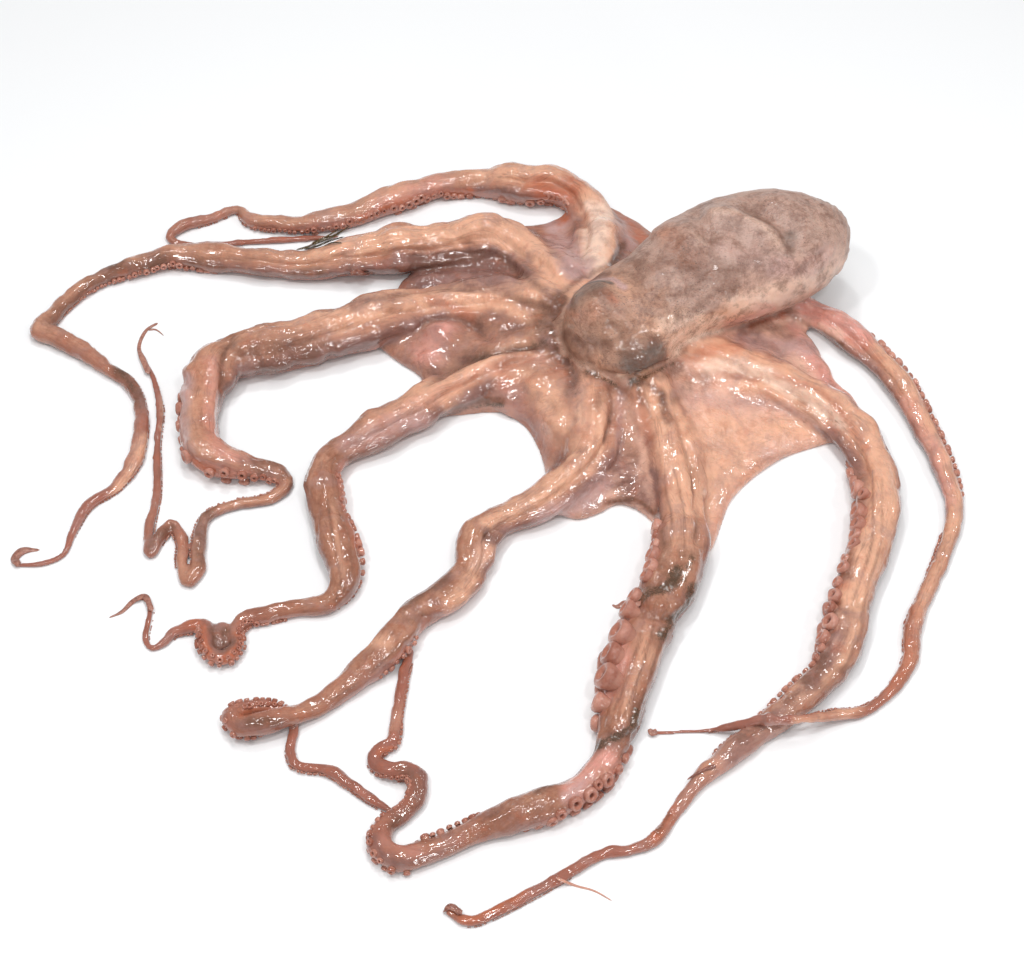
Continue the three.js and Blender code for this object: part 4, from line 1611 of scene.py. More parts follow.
# Strokes: the tint and what takes it, then rows of half width, strength and corners.
BRUSHWORK: tuple[tuple[Tint, tuple[Owner, ...], tuple[Row, ...]], ...] = (
    (Tint.TAN, (), (
        (12, 0.5, (244, 340), (280, 336), (320, 330)), (10, 0.7, (412, 170), (432, 176), (456, 178)),
        (14, 0.6, (640, 620), (632, 660), (622, 700)),
    )),
    (Tint.TAN, WEBBED, (
        (4, 0.25, (496, 290), (450, 288), (410, 294)), (14, 0.7, (552, 400), (570, 430), (560, 448)),
        (12, 0.6, (610, 392), (616, 430), (630, 450)), (16, 1.0, (512, 366), (530, 374), (544, 388)),
        (12, 0.6, (580, 396), (590, 420), (584, 446)),
    )),
    (Tint.TAN, HEAD, (
        (12, 0.6, (664, 236), (676, 244), (700, 262)), (8, 0.6, (572, 314), (584, 318), (598, 312)),
    )),
    (Tint.CREAM, (), ((9, 0.8, (704, 364), (746, 368), (800, 392), (842, 424)),)),
    (Tint.CREAM, WEBBED, (
        (9, 0.35, (586, 392), (582, 410), (590, 426)), (13, 0.95, (800, 304), (826, 316), (850, 332)),
        (3, 0.6, (549, 338), (554, 350)),
    )),
    (Tint.CREAM, HEAD, (
        (13, 0.6, (668, 324), (684, 322), (700, 316)),
        # A pale line along the mantle's crest: painted sheen.
        (4, 0.4, (712, 214), (740, 216), (764, 230), (782, 250)),
        # The second stroke here lightens the mantle's downturned lower side: painted light.
        (3, 0.3, (800, 284), (828, 266), (840, 246)), (12, 0.9, (674, 346), (692, 335), (716, 324)),
        (13, 0.7, (736, 308), (766, 300), (800, 286), (820, 276), (838, 262)),
        (3, 0.7, (618, 375), (640, 373), (658, 367), (670, 356), (675, 346)),
    )),
    (Tint.CREAM, (Owner.LEFT,), ((12, 0.9, (176, 394), (175, 424), (180, 446)),)),
    (Tint.CREAM, (Owner.REAR,), ((15, 1.0, (598, 208), (597, 228), (592, 264)),)),
    (Tint.CREAM, (Owner.RIGHT_REAR,), ((8, 0.5, (808, 302), (834, 318), (850, 332)),)),
    (Tint.PEACH, (), (
        (11, 0.9, (562, 288), (540, 262), (515, 244), (480, 232), (430, 232), (380, 240), (320, 252)),
        (10, 0.7, (143, 440), (134, 466), (116, 500)), (8, 0.5, (290, 266), (310, 268), (330, 262)),
        (12, 0.9, (546, 318), (510, 305), (470, 298), (430, 302)),
        (10, 0.7, (482, 372), (464, 386), (446, 402)), (5, 0.5, (334, 508), (338, 540), (342, 574)),
        (10, 0.9, (600, 456), (560, 482), (520, 506), (490, 520)),
        (10, 0.9, (490, 536), (480, 560), (464, 592), (448, 606)), (12, 0.4, (416, 700), (396, 722)),
        (9, 0.9, (662, 400), (672, 450), (690, 510)), (6, 0.5, (646, 636), (638, 676), (626, 710)),
        (10, 0.8, (744, 384), (784, 398), (822, 424)), (9, 0.5, (888, 470), (884, 540), (862, 604)),
    )),
    (Tint.PEACH, WEBBED, (
        (20, 0.8, (500, 366), (530, 376), (548, 396), (560, 424)),
        (9, 0.6, (592, 400), (596, 440), (580, 466)), (26, 0.8, (712, 430), (742, 450), (704, 494)),
        (18, 0.8, (696, 440), (724, 452), (770, 430), (806, 424)),
    )),
    (Tint.PEACH, HEAD, (
        (10, 0.35, (790, 262), (815, 264)), (11, 0.5, (742, 300), (762, 300), (784, 292)),
        (9, 0.4, (610, 276), (624, 288), (640, 300)),
        # The first stroke here lightens the mantle's downturned lower side: painted light.
        (14, 1.0, (672, 346), (690, 334), (716, 322), (748, 312)), (9, 0.7, (598, 358), (602, 364)),
        (9, 0.5, (640, 318), (656, 326), (668, 336)),
    )),
    (Tint.PEACH, (Owner.FRONT,), ((11, 0.5, (648, 646), (654, 660)),)),
    (Tint.PEACH, (Owner.FRONT_LEFT,), ((9, 0.6, (350, 652), (366, 640), (384, 640)),)),
    (Tint.PEACH, (Owner.LEFT_FRONT, Owner.WEB), ((13, 0.7, (448, 366), (466, 374), (476, 366)),)),
    (Tint.PEACH, (Owner.REAR,), ((11, 0.8, (486, 172), (510, 172), (540, 172)),)),
    (Tint.PEACH, (Owner.RIGHT_REAR,), ((10, 0.6, (800, 724), (830, 714), (856, 704)),)),
    (Tint.ROSE, (), (
        (14, 0.45, (440, 184), (380, 205)), (17, 0.75, (442, 334), (430, 354)),
        (11, 0.5, (214, 366), (212, 420), (222, 450), (250, 458)),
        (11, 0.35, (540, 360), (484, 370), (430, 398), (372, 430)),
        (11, 0.7, (616, 622), (618, 664), (602, 690)), (16, 0.8, (604, 758), (574, 788)),
        (10, 0.35, (384, 842), (420, 852)), (7, 0.6, (842, 386), (868, 412)),
    )),
    (Tint.ROSE, WEBBED, (
        (16, 0.35, (508, 396), (530, 420), (544, 446)), (8, 0.8, (792, 328), (812, 360), (836, 388)),
    )),
    (Tint.ROSE, HEAD, ((8, 0.5, (730, 326), (770, 308)),)),
    (Tint.ROSE, (Owner.RIGHT_REAR,), (
        (16, 1.0, (800, 300), (832, 312), (862, 336)), (12, 0.5, (906, 400), (930, 446), (950, 500)),
    )),
    (Tint.LILAC, (), (
        (10, 0.8, (186, 380), (180, 420), (186, 450)), (8, 0.2, (404, 334), (388, 342)),
        (11, 0.7, (420, 418), (395, 426), (345, 442)), (12, 0.9, (604, 486), (576, 506), (546, 520)),
        (12, 0.35, (384, 668), (366, 684)), (10, 0.3, (378, 780), (364, 792)),
        (9, 0.3, (416, 648), (396, 664), (376, 680)), (9, 0.6, (590, 776), (566, 798)),
        (8, 0.5, (740, 398), (788, 410), (832, 436)), (13, 0.35, (760, 730), (740, 750), (722, 764)),
    )),
    (Tint.LILAC, WEBBED, (
        (15, 0.9, (556, 226), (564, 248), (580, 268)), (7, 0.6, (622, 226), (632, 246)),
        (5, 0.8, (514, 280), (470, 277), (420, 282)), (12, 0.4, (500, 390), (520, 396)),
        (4, 0.7, (621, 384), (623, 430), (618, 470)), (11, 0.45, (692, 394), (730, 402), (764, 402)),
        (10, 0.8, (742, 336), (780, 346), (818, 346)), (5, 1.0, (549, 338), (554, 348)),
    )),
    (Tint.LILAC, HEAD, (
        (15, 0.55, (776, 264), (804, 268), (828, 258)), (14, 0.35, (724, 246), (760, 262), (800, 262)),
        (11, 0.3, (760, 308), (800, 290), (830, 268)),
        (4, 0.9, (569, 306), (579, 291), (592, 283), (610, 279), (624, 287)),
    )),
    (Tint.LILAC, (Owner.RIGHT,), ((12, 0.6, (834, 640), (826, 656)),)),
    (Tint.MAUVE, (), (
        (13, 0.35, (360, 206), (320, 214), (280, 216)), (9, 0.5, (84, 300), (60, 322)),
        (11, 0.8, (350, 348), (320, 356), (290, 366), (240, 374)), (9, 0.2, (420, 334), (380, 344)),
        (16, 0.35, (238, 352), (280, 348), (330, 340)), (7, 0.6, (104, 286), (136, 276), (172, 272)),
        (10, 0.6, (244, 462), (266, 462), (284, 468)), (9, 0.6, (352, 306), (372, 300), (392, 300)),
        (7, 0.8, (214, 628), (212, 642)), (6, 0.4, (612, 500), (560, 524), (500, 534)),
        (6, 0.5, (446, 580), (430, 596), (440, 606)), (7, 0.6, (238, 724), (262, 728), (284, 726)),
        (6, 0.6, (374, 838), (384, 856), (410, 864), (440, 856)),
        (5, 0.5, (408, 768), (424, 786), (416, 808)), (6, 0.35, (368, 752), (374, 770)),
        (6, 0.7, (422, 772), (427, 792)), (15, 0.55, (836, 612), (844, 630), (832, 652)),
        (15, 0.7, (834, 650), (812, 682)),
    )),
    (Tint.MAUVE, WEBBED, (
        (17, 1.0, (520, 272), (480, 270), (440, 272), (400, 274)),
        (10, 0.6, (528, 420), (540, 450), (560, 456)), (20, 0.8, (622, 470), (640, 498)),
        (10, 0.5, (416, 330), (436, 338), (446, 350)),
    )),
    (Tint.MAUVE, HEAD, ((10, 0.25, (704, 226), (740, 232), (770, 250)),)),
    (Tint.MAUVE, (Owner.RIGHT,), ((15, 0.6, (830, 660), (808, 686), (784, 708), (754, 732), (732, 752)),)),
    (Tint.UMBER, (), (
        (2, 0.9, (250, 231), (290, 232), (330, 235)),
        (6, 0.7, (320, 270), (250, 277), (190, 262), (130, 270)),
        (11, 0.65, (128, 266), (100, 280), (76, 302), (56, 320)),
        (9, 0.85, (118, 368), (135, 388), (141, 402)), (14, 0.5, (300, 346), (250, 344), (236, 340)),
        (4, 0.7, (236, 326), (300, 312), (345, 306)),
        (5, 0.6, (233, 334), (225, 350), (222, 374), (228, 402), (234, 416)),
        (6, 0.35, (226, 400), (228, 436), (250, 448)),
        (2, 0.6, (242, 360), (276, 352), (312, 350), (340, 344)),
        (9, 0.55, (240, 352), (262, 366), (300, 358), (330, 346)),
        (6, 0.7, (248, 480), (264, 472), (284, 476)), (12, 0.8, (208, 496), (209, 530), (206, 560)),
        (10, 0.5, (512, 296), (534, 306), (552, 322)), (7, 0.7, (172, 526), (162, 534), (150, 548)),
        (5, 0.7, (504, 400), (466, 405), (420, 432), (350, 460)),
        (2, 0.6, (328, 500), (334, 550), (344, 592)), (2, 0.5, (338, 520), (342, 560), (336, 602)),
        (8, 0.4, (338, 500), (350, 545), (348, 590)), (5, 0.9, (224, 630), (224, 646)),
        (6, 0.8, (212, 630), (220, 648), (234, 640)), (7, 0.9, (488, 532), (502, 546)),
        (9, 0.4, (392, 808), (404, 824)), (8, 0.7, (446, 574), (424, 590), (402, 606)),
        (2, 0.6, (430, 636), (400, 660), (372, 688)),
        (2, 0.6, (420, 628), (392, 652), (360, 682), (330, 700)), (7, 0.5, (408, 618), (440, 622)),
        (6, 0.8, (250, 722), (280, 722)), (4, 0.8, (606, 502), (636, 500), (656, 516)),
        (6, 0.6, (656, 510), (664, 540), (660, 566)), (15, 0.5, (684, 560), (664, 586), (630, 602)),
        (10, 0.5, (694, 590), (676, 618), (660, 640)), (2, 0.6, (654, 624), (642, 668), (624, 716)),
        (2, 0.5, (644, 622), (632, 664), (614, 708)), (2, 0.6, (664, 626), (652, 676), (636, 718)),
        (2, 0.5, (674, 470), (684, 510), (684, 552)), (2, 0.5, (664, 480), (672, 520), (670, 556)),
        (10, 0.6, (640, 704), (634, 726), (610, 740), (592, 748)), (6, 0.9, (538, 792), (562, 776)),
        (12, 0.45, (484, 816), (546, 802)), (6, 0.5, (398, 830), (420, 836), (450, 832)),
        (8, 0.6, (400, 770), (418, 784), (412, 806), (396, 818)), (6, 0.8, (392, 826), (404, 816)),
        (6, 0.2, (830, 438), (852, 458)), (9, 0.7, (858, 480), (856, 510), (850, 540), (846, 574)),
        (2, 0.5, (872, 470), (872, 540), (852, 604)), (2, 0.4, (882, 480), (880, 540), (864, 596)),
        (2, 0.5, (864, 600), (858, 640), (844, 672)), (4, 0.6, (668, 812), (658, 832)),
        (7, 0.6, (820, 540), (836, 590), (826, 640)), (10, 0.6, (822, 656), (806, 680)),
        (7, 0.4, (848, 668), (824, 690)), (4, 0.5, (800, 690), (770, 716), (740, 740)),
        (6, 0.6, (424, 440), (400, 446), (372, 462), (350, 470)),
    )),
    (Tint.UMBER, WEBBED, (
        (5, 1.0, (624, 244), (614, 264)), (8, 0.6, (480, 256), (440, 262), (400, 270)),
        (8, 0.6, (552, 352), (574, 370), (572, 394)), (9, 0.4, (628, 392), (632, 430), (634, 462)),
        # The first stroke here darkens the web under the head's right side: painted shade.
        (9, 0.45, (676, 366), (692, 372), (704, 378)), (5, 0.6, (636, 384), (642, 404)),
        (10, 0.5, (670, 372), (690, 376), (676, 396)), (8, 0.5, (742, 330), (764, 326), (790, 336)),
        (5, 0.4, (820, 332), (846, 348), (862, 372)), (13, 0.4, (508, 362), (530, 366), (546, 376)),
        # Painted shade: a dark ring where the head meets the web.
        (8, 0.7, (578, 364), (600, 379), (628, 384), (654, 377), (680, 366)),
        # The second stroke here is painted shade in the crevice at the head's left side.
        (14, 0.7, (556, 300), (540, 318), (548, 334)), (14, 1.0, (560, 300), (556, 326), (564, 352)),
        (4, 0.6, (562, 300), (571, 284), (588, 274), (610, 267)),
        # Painted shade along the crevices below the head's left side.
        (7, 0.7, (466, 354), (510, 348), (556, 344)), (9, 0.6, (554, 318), (556, 340), (566, 356)),
        (7, 0.5, (480, 322), (500, 330), (530, 332)), (6, 0.55, (500, 258), (524, 276), (546, 290)),
        (6, 0.5, (592, 376), (600, 392), (596, 410)), (7, 0.75, (648, 384), (662, 398), (668, 420)),
        (7, 0.4, (480, 380), (500, 396), (520, 400)),
    )),
    (Tint.UMBER, HEAD, (
        (9, 0.5, (624, 258), (640, 264), (656, 272)), (7, 0.2, (652, 300), (676, 306), (706, 312)),
        (12, 0.5, (676, 262), (692, 268), (704, 276)), (8, 0.3, (700, 288), (730, 284), (760, 276)),
        (9, 0.3, (752, 204), (790, 214), (810, 236)), (10, 0.3, (684, 258), (704, 280)),
        # The first stroke here is a painted shadow line beside the mantle's crest.
        (3, 0.5, (745, 211), (770, 220), (784, 236)), (19, 0.6, (676, 256), (700, 268), (728, 276)),
        # Painted shade below the head's left side.
        (9, 0.6, (566, 334), (584, 345), (606, 344)),
        (3, 0.7, (566, 302), (575, 286), (590, 279), (610, 272)), (6, 0.4, (606, 300), (618, 308)),
    )),
    (Tint.UMBER, (Owner.LEFT,), (
        (9, 0.6, (256, 462), (276, 462), (286, 470)), (12, 0.9, (198, 520), (206, 540), (204, 556)),
    )),
    (Tint.UMBER, (Owner.LEFT_REAR,), ((12, 0.9, (112, 264), (138, 268), (164, 262)),)),
    (Tint.UMBER, (Owner.RIGHT,), (
        (9, 0.85, (846, 470), (846, 520), (838, 572)), (8, 0.5, (452, 914), (480, 904), (516, 888)),
    )),
    (Tint.UMBER, (Owner.RIGHT_REAR,), ((8, 0.9, (838, 346), (868, 376), (892, 402)),)),
    (Tint.RUST, (), (
        (16, 0.7, (540, 186), (562, 196), (576, 186)), (8, 1.0, (552, 204), (562, 214)),
        (6, 0.8, (470, 194), (420, 199), (385, 208), (345, 228)),
        (8, 0.5, (300, 234), (250, 234), (240, 222)), (8, 0.8, (125, 274), (170, 264), (150, 280)),
        (12, 0.3, (206, 360), (204, 420), (216, 448)), (6, 0.8, (196, 462), (216, 474), (232, 480)),
        (12, 0.45, (506, 366), (504, 382)), (6, 0.8, (345, 502), (352, 522), (358, 544)),
        (9, 1.0, (200, 632), (206, 650), (222, 662), (240, 650), (242, 628)),
        (6, 0.7, (176, 628), (196, 620)), (7, 0.8, (404, 656), (392, 672)),
        (5, 0.7, (240, 714), (262, 707), (284, 706)), (6, 0.9, (382, 752), (392, 750)),
        (5, 0.5, (776, 374), (826, 398), (866, 446)), (10, 0.6, (852, 510), (848, 548), (842, 584)),
        (6, 0.9, (672, 806), (662, 822), (656, 838)), (8, 0.8, (830, 560), (826, 590), (816, 624)),
    )),
    (Tint.RUST, WEBBED, (
        (6, 0.6, (604, 192), (628, 222), (648, 244)), (8, 0.4, (506, 366), (516, 384), (560, 372)),
        (11, 0.3, (588, 384), (590, 432)), (9, 0.35, (640, 392), (648, 440)),
        (7, 0.35, (770, 452), (738, 486), (716, 530)), (7, 0.9, (752, 322), (780, 314)),
        (7, 0.5, (700, 352), (740, 346)), (7, 0.5, (430, 300), (452, 306), (470, 316)),
    )),
    (Tint.RUST, HEAD, ((5, 0.5, (605, 296), (616, 304)), (5, 0.6, (651, 341)),)),
    (Tint.RUST, (Owner.RIGHT,), (
        (10, 0.9, (842, 512), (838, 560), (832, 596)), (12, 1.0, (452, 916), (480, 908), (520, 890)),
    )),
    (Tint.RUST, (Owner.RIGHT_REAR,), (
        (7, 0.5, (852, 338), (880, 358)), (11, 0.5, (912, 610), (906, 660), (890, 692)),
    )),
    (Tint.SLATE, HEAD, (
        (7, 0.6, (792, 234), (790, 250)), (8, 0.65, (575, 306), (584, 297), (600, 290)),
        (2.5, 0.9, (574, 300), (583, 291), (600, 285), (612, 285)),
        (15, 0.8, (634, 356), (644, 354), (652, 352)), (7, 0.95, (642, 361), (652, 357), (659, 350)),
    )),
    (Tint.GRIME, (), (
        (5, 0.5, (120, 370), (134, 390)), (3, 0.7, (504, 404), (466, 410), (430, 428), (402, 442)),
        (8, 0.9, (678, 572), (664, 590), (640, 598), (624, 604)),
        (7, 0.8, (692, 588), (684, 606), (672, 622), (662, 634)), (5, 0.6, (690, 560), (684, 580)),
        (6, 0.9, (638, 712), (632, 728), (612, 738), (594, 746)), (3, 0.5, (404, 450), (370, 462)),
    )),
    # Painted shade: dark lines in the crevices round the head's base.
    (Tint.GRIME, WEBBED, (
        (4, 0.7, (582, 364), (600, 377), (626, 382), (648, 376), (672, 362)),
        (6, 0.5, (562, 306), (556, 326), (562, 346)),
        (5, 0.6, (566, 318), (562, 340), (570, 356), (590, 372)),
        (3, 0.5, (470, 352), (510, 345), (548, 340)), (3, 0.6, (636, 380), (640, 392)),
    )),
    (Tint.GRIME, HEAD, ((3, 1.2, (638, 369), (648, 367), (657, 361)),)),
    (Tint.SPECKLE, WEBBED, ((9, 0.6, (580, 376), (574, 392)),)),
    (Tint.SPECKLE, HEAD, (
        (12, 1.0, (632, 262), (650, 264)), (16, 1.0, (684, 256), (700, 282)),
        (14, 0.8, (756, 202), (790, 208)), (9, 0.7, (800, 238), (832, 236)),
        (13, 0.9, (672, 304), (704, 310)), (10, 0.9, (618, 300), (652, 304)),
        (18, 0.6, (720, 290), (740, 262), (770, 250)),
    )),
    (Tint.GLOSS, HEAD, (
        (22, 1.0, (676, 340), (716, 322), (748, 314)), (26, 0.26, (580, 310), (610, 338), (655, 352)),
        (17, 1.0, (588, 326), (606, 336), (626, 352), (655, 350)),
    )),
    (Tint.MATT, WEBBED, (
        (18, 1.0, (612, 200), (626, 222), (640, 244)), (9, 0.8, (536, 420), (546, 446), (556, 470)),
        (26, 0.7, (704, 424), (740, 436), (776, 434)),
    )),
)
STROKES: tuple[Stroke, ...] = tuple(
    Stroke(tuple(line), width, on, tint, strength)
    for tint, on, rows in BRUSHWORK for width, strength, *line in rows
)


@dataclass(frozen=True)
class Net:
    """Narrow creases that run where a noise passes zero.

    Attributes:
        seed: The noise's starting number.
        size: How wide the meshes are, in millimetres.
        narrow: How narrow the creases are, as a share of the noise's swing.
        depth: How deep they are, in millimetres.
    """

    seed: Seed
    size: float
    narrow: float
    depth: float

    def at(self, points: Array) -> Array:
        """Gives how deep the creases are at points."""
        return bell(Grain(self.seed).at(points / self.size), self.narrow) * self.depth


@dataclass(frozen=True)
class Relief:
    """The skin's own relief: lumps, flanks and wrinkles.

    Sizes and heights are millimetres, turns are degrees, and a pair holds where something starts and
    where it is full.
    """

    full_radius: float = 13.0
    bulk_limits: Pair = (0.15, 1.2)

    lump_size: float = 17.0
    lump_arm: float = 1.3
    lump_web: float = 1.1
    lump_body: float = 0.8
    swell_size: float = 38.0
    swell_arm: float = 1.5
    swell_rest: float = 1.2
    knob_size: float = 7.0
    knob_all: float = 0.16
    knob_arm: float = 0.24
    knob_off_body: float = 0.1
    pimple_size: float = 3.7
    pimple_height: float = 0.11
    tip_lump_size: float = 5.5
    tip_lump_height: float = 0.75
    tip_lump_radius: Pair = (4.0, 10.0)

    net: Net = Net(Seed.NET, 11.0, 0.16, 1.1)
    fine_net: Net = Net(Seed.FINE_NET, 5.5, 0.2, 0.35)
    net_wander_size: float = 9.0
    net_wander: float = 4.0
    net_reach: Pair = (60.0, 130.0)
    net_patch_size: float = 24.0
    net_patches: Pair = (-0.3, 0.3)
    net_least: float = 0.3

    flank_end: Pair = (0.7, 1.0)
    flank_wander_size: float = 30.0
    flank_wander: float = 9.0
    flank_apart: Pair = (5.3, 1.1)
    valley_turn: float = 48.0
    valley_width: float = 15.0
    valley_depth: float = 3.4
    low_swell_turn: float = 82.0
    low_swell_width: float = 16.0
    low_swell_height: float = 2.2

    fold_size: Pair = (34.0, 4.6)
    fold_apart: float = 3.7
    fold_wander_size: Pair = (19.0, 9.0)
    fold_wander: float = 0.8
    fold_narrow: float = 0.13
    fold_depth: float = 1.5
    fine_fold_size: Pair = (13.0, 2.3)
    fine_fold_apart: float = 9.1
    fine_fold_height: float = 0.45
    fold_patch_size: float = 26.0
    fold_patches: Pair = (-0.25, 0.35)
    fold_least: float = 0.25
    fold_root: float = 0.35
    fold_start: Pair = (50.0, 110.0)

    bend_tightness: Pair = (0.35, 1.4)
    bend_inside: Pair = (-0.1, 0.7)
    bend_wander_size: float = 9.0
    bend_wander: float = 2.2
    bend_height: float = 0.9
    bend_run: float = 3.4

    def bulk(self, lie: Lie) -> Array:
        """Gives how high relief may stand on an arm of that thickness."""
        return np.clip(lie.radius / self.full_radius, *self.bulk_limits)

    def lumps(self, lie: Lie, arm: Array, body: Array) -> Array:
        """Adds up rounded lumps of five sizes.

        Args:
            lie: The skin's places.
            arm: How much each point is an arm's.
            body: How much it is the body's.

        Returns:
            The relief.
        """
        points, bulk = lie.points, self.bulk(lie)
        relief = Grain(Seed.LUMPS).layers(points / self.lump_size, 3) * (
            self.lump_arm * bulk * arm + self.lump_web * (1 - arm) * (1 - body) + self.lump_body * body)
        relief += Grain(Seed.SWELLS).layers(points / self.swell_size, 2) * (
            self.swell_arm * bulk * arm + self.swell_rest * (1 - arm))
        relief += Grain(Seed.KNOBS).at(points / self.knob_size) * (
            self.knob_all + self.knob_arm * arm + self.knob_off_body * (1 - body))
        relief += Grain(Seed.PIMPLES).at(points / self.pimple_size) * self.pimple_height
        tips = Grain(Seed.TIP_LUMPS).layers(points / self.tip_lump_size, 2) * self.tip_lump_height
        return relief + tips * arm * (1 - smooth(*self.tip_lump_radius, lie.radius))

    def puckers(self, lie: Lie) -> Array:
        """Gathers the skin round the crown into a net of small folds."""
        run = np.hypot(lie.points[:, 0] - CROWN[0], lie.points[:, 1] - CROWN[1])
        astray = Grain(Seed.NET_WANDER).at(lie.points / self.net_wander_size)[:, None]
        place = lie.points + astray * self.net_wander
        near = 1 - smooth(*self.net_reach, run)
        patchy = smooth(*self.net_patches, Grain(Seed.NET_PATCHES).at(lie.points / self.net_patch_size))
        share = self.net_least + (1 - self.net_least) * patchy
        return -(self.net.at(place) + self.fine_net.at(place)) * near * share

    def flanks(self, lie: Lie, arms: Sequence[Arm]) -> Array:
        """Sinks a valley between an arm's back and its low outer flank.

        Args:
            lie: The skin's places.
            arms: The arms.

        Returns:
            The relief.
        """
        side, end = np.zeros(len(Owner)), np.ones(len(Owner))
        for arm in arms:
            side[arm.owner.value], end[arm.owner.value] = arm.skirt, arm.skirt_end
        side, end = side[lie.owner], end[lie.owner]
        turn = np.degrees(lie.turn) * side
        fade = (1 - smooth(*self.flank_end, lie.along / end)) * (side != 0)
        run = np.column_stack([lie.along / self.flank_wander_size,
                               *(lie.owner * apart for apart in self.flank_apart)])
        wander = Grain(Seed.FLANKS).at(run) * self.flank_wander
        valley = bell(turn - self.valley_turn - wander, self.valley_width) * self.valley_depth
        swell = bell(turn - self.low_swell_turn - wander, self.low_swell_width) * self.low_swell_height
        return fade * (swell - valley) * np.clip(lie.radius / self.full_radius, 0, 1)

    def long_folds(self, lie: Lie) -> Array:
        """Runs fine creases along the arms."""
        around, bulk = lie.turn * lie.radius, self.bulk(lie)

        def place(size: Pair, apart: float) -> Array:
            """Scales the places along and round each arm, and sets the arms apart."""
            return np.column_stack([lie.along / size[0], around / size[1], lie.owner * apart])

        lines = place(self.fold_size, self.fold_apart)
        lines[:, 1] += Grain(Seed.FOLD_WANDER).at(place(self.fold_wander_size, 1)) * self.fold_wander
        lines = bell(Grain(Seed.FOLD_LINES).at(lines), self.fold_narrow)
        fine = Grain(Seed.FOLD_FINE).at(place(self.fine_fold_size, self.fine_fold_apart))
        patchy = smooth(*self.fold_patches, Grain(Seed.FOLD_PATCHES).at(lie.points / self.fold_patch_size))
        patchy *= self.fold_root + (1 - self.fold_root) * smooth(*self.fold_start, lie.along)
        share = self.fold_least + (1 - self.fold_least) * patchy
        return -self.fold_depth * bulk * lines * share + self.fine_fold_height * bulk * fine

    def bend_folds(self, lie: Lie) -> Array:
        """Crumples the skin across an arm on the inside of its bends."""
        inside = smooth(*self.bend_inside, np.sin(lie.turn) * np.sign(lie.bend))
        tight = smooth(*self.bend_tightness, np.abs(lie.bend) * lie.radius) * inside
        wander = Grain(Seed.BEND_WANDER).at(lie.points / self.bend_wander_size) * self.bend_wander
        wave = np.sin(lie.along / self.bend_run * FULL_TURN + wander)
        return self.bend_height * self.bulk(lie) * tight * wave


@dataclass(frozen=True)
class Zones:
    """Where each colour of the skin starts and is full.

    Turns are degrees from a limb's back, shares are of an arm's length and runs are millimetres. The
    ragged numbers say how far each of these wanders.
    """

    ragged_size: float = 9.0
    ragged_turn: float = 10.0
    ragged_under: float = 8.0
    ragged_tip: float = 0.04
    ragged_deep: float = 0.03
    ragged_lit_side: float = 0.12
    ragged_face: float = 8.0
    pale_turn: Pair = (28.0, 66.0)
    flank_turn: Pair = (48.0, 84.0)
    flank_share: Pair = (0.45, 0.8)
    under_turn: Pair = (88.0, 128.0)
    tip_share: Pair = (0.42, 0.95)
    web_heading: float = -40.0
    web_turn: Pair = (0.2, 0.7)
    web_flank: float = 0.5
    deep_share: Pair = (0.12, 0.36)
    limb_run: Pair = (50.0, 130.0)
    # The mantle's front-facing side takes a lighter colour: painted light.
    lit_side_run: Pair = (70.0, 105.0)
    lit_side_tilt: Pair = (0.5, 0.95)
    face_run: Pair = (42.0, 80.0)
    speckle: float = 0.55

    def ragged(self, lie: Lie) -> Array:
        """Gives the noise that frays the colours' edges."""
        return Grain(Seed.RAGGED).layers(lie.points / self.ragged_size, 3)

    def masks(self, lie: Lie, ragged: Array, normals: Array, arms: Sequence[Arm]) -> dict[str, Array]:
        """Works out how much of each zone every point has.

        Args:
            lie: The skin's places.
            ragged: The noise that frays the edges.
            normals: Each point's outward direction.
            arms: The arms.

        Returns:
            The masks, by name, 0 to 1.
        """
        arm, mantle = lie.on_arm.astype(float), lie.on_body.astype(float)
        web = (lie.owner == Owner.WEB.value).astype(float)
        turn = np.abs(np.degrees(lie.turn)) + ragged * self.ragged_turn
        under = np.degrees(np.abs(np.angle(np.exp(1j * (lie.turn + lie.roll)))))
        heading = np.arctan2(lie.points[:, 1] - CROWN[1], lie.points[:, 0] - CROWN[0])
        right_front = smooth(*self.web_turn, np.cos(heading - math.radians(self.web_heading)))
        flank = arm * smooth(*self.flank_turn, turn) * (1 - smooth(*self.flank_share, lie.share))
        deep = np.array([arm.deep for arm in arms] + [0.0] * (len(Owner) - len(arms)))[lie.owner]
        # Painted light: the mantle is lighter where it faces the front.
        low = smooth(*self.lit_side_tilt, ragged * self.ragged_lit_side - normals[:, 1])
        return {
            "pale": arm * (1 - smooth(*self.pale_turn, turn)),
            "flank": np.maximum(flank, web * (1 - right_front) * self.web_flank),
            "under": arm * smooth(*self.under_turn, under + ragged * self.ragged_under),
            "tip": arm * smooth(*self.tip_share, lie.share + ragged * self.ragged_tip),
            "web": web * right_front,
            "deep": deep * smooth(*self.deep_share, lie.share + ragged * self.ragged_deep),
            "limb": arm * smooth(*self.limb_run, lie.along),
            "mantle": mantle,
            "low": mantle * smooth(*self.lit_side_run, lie.along) * low,
            "face": mantle * (1 - smooth(*self.face_run, lie.along + ragged * self.ragged_face)),
        }


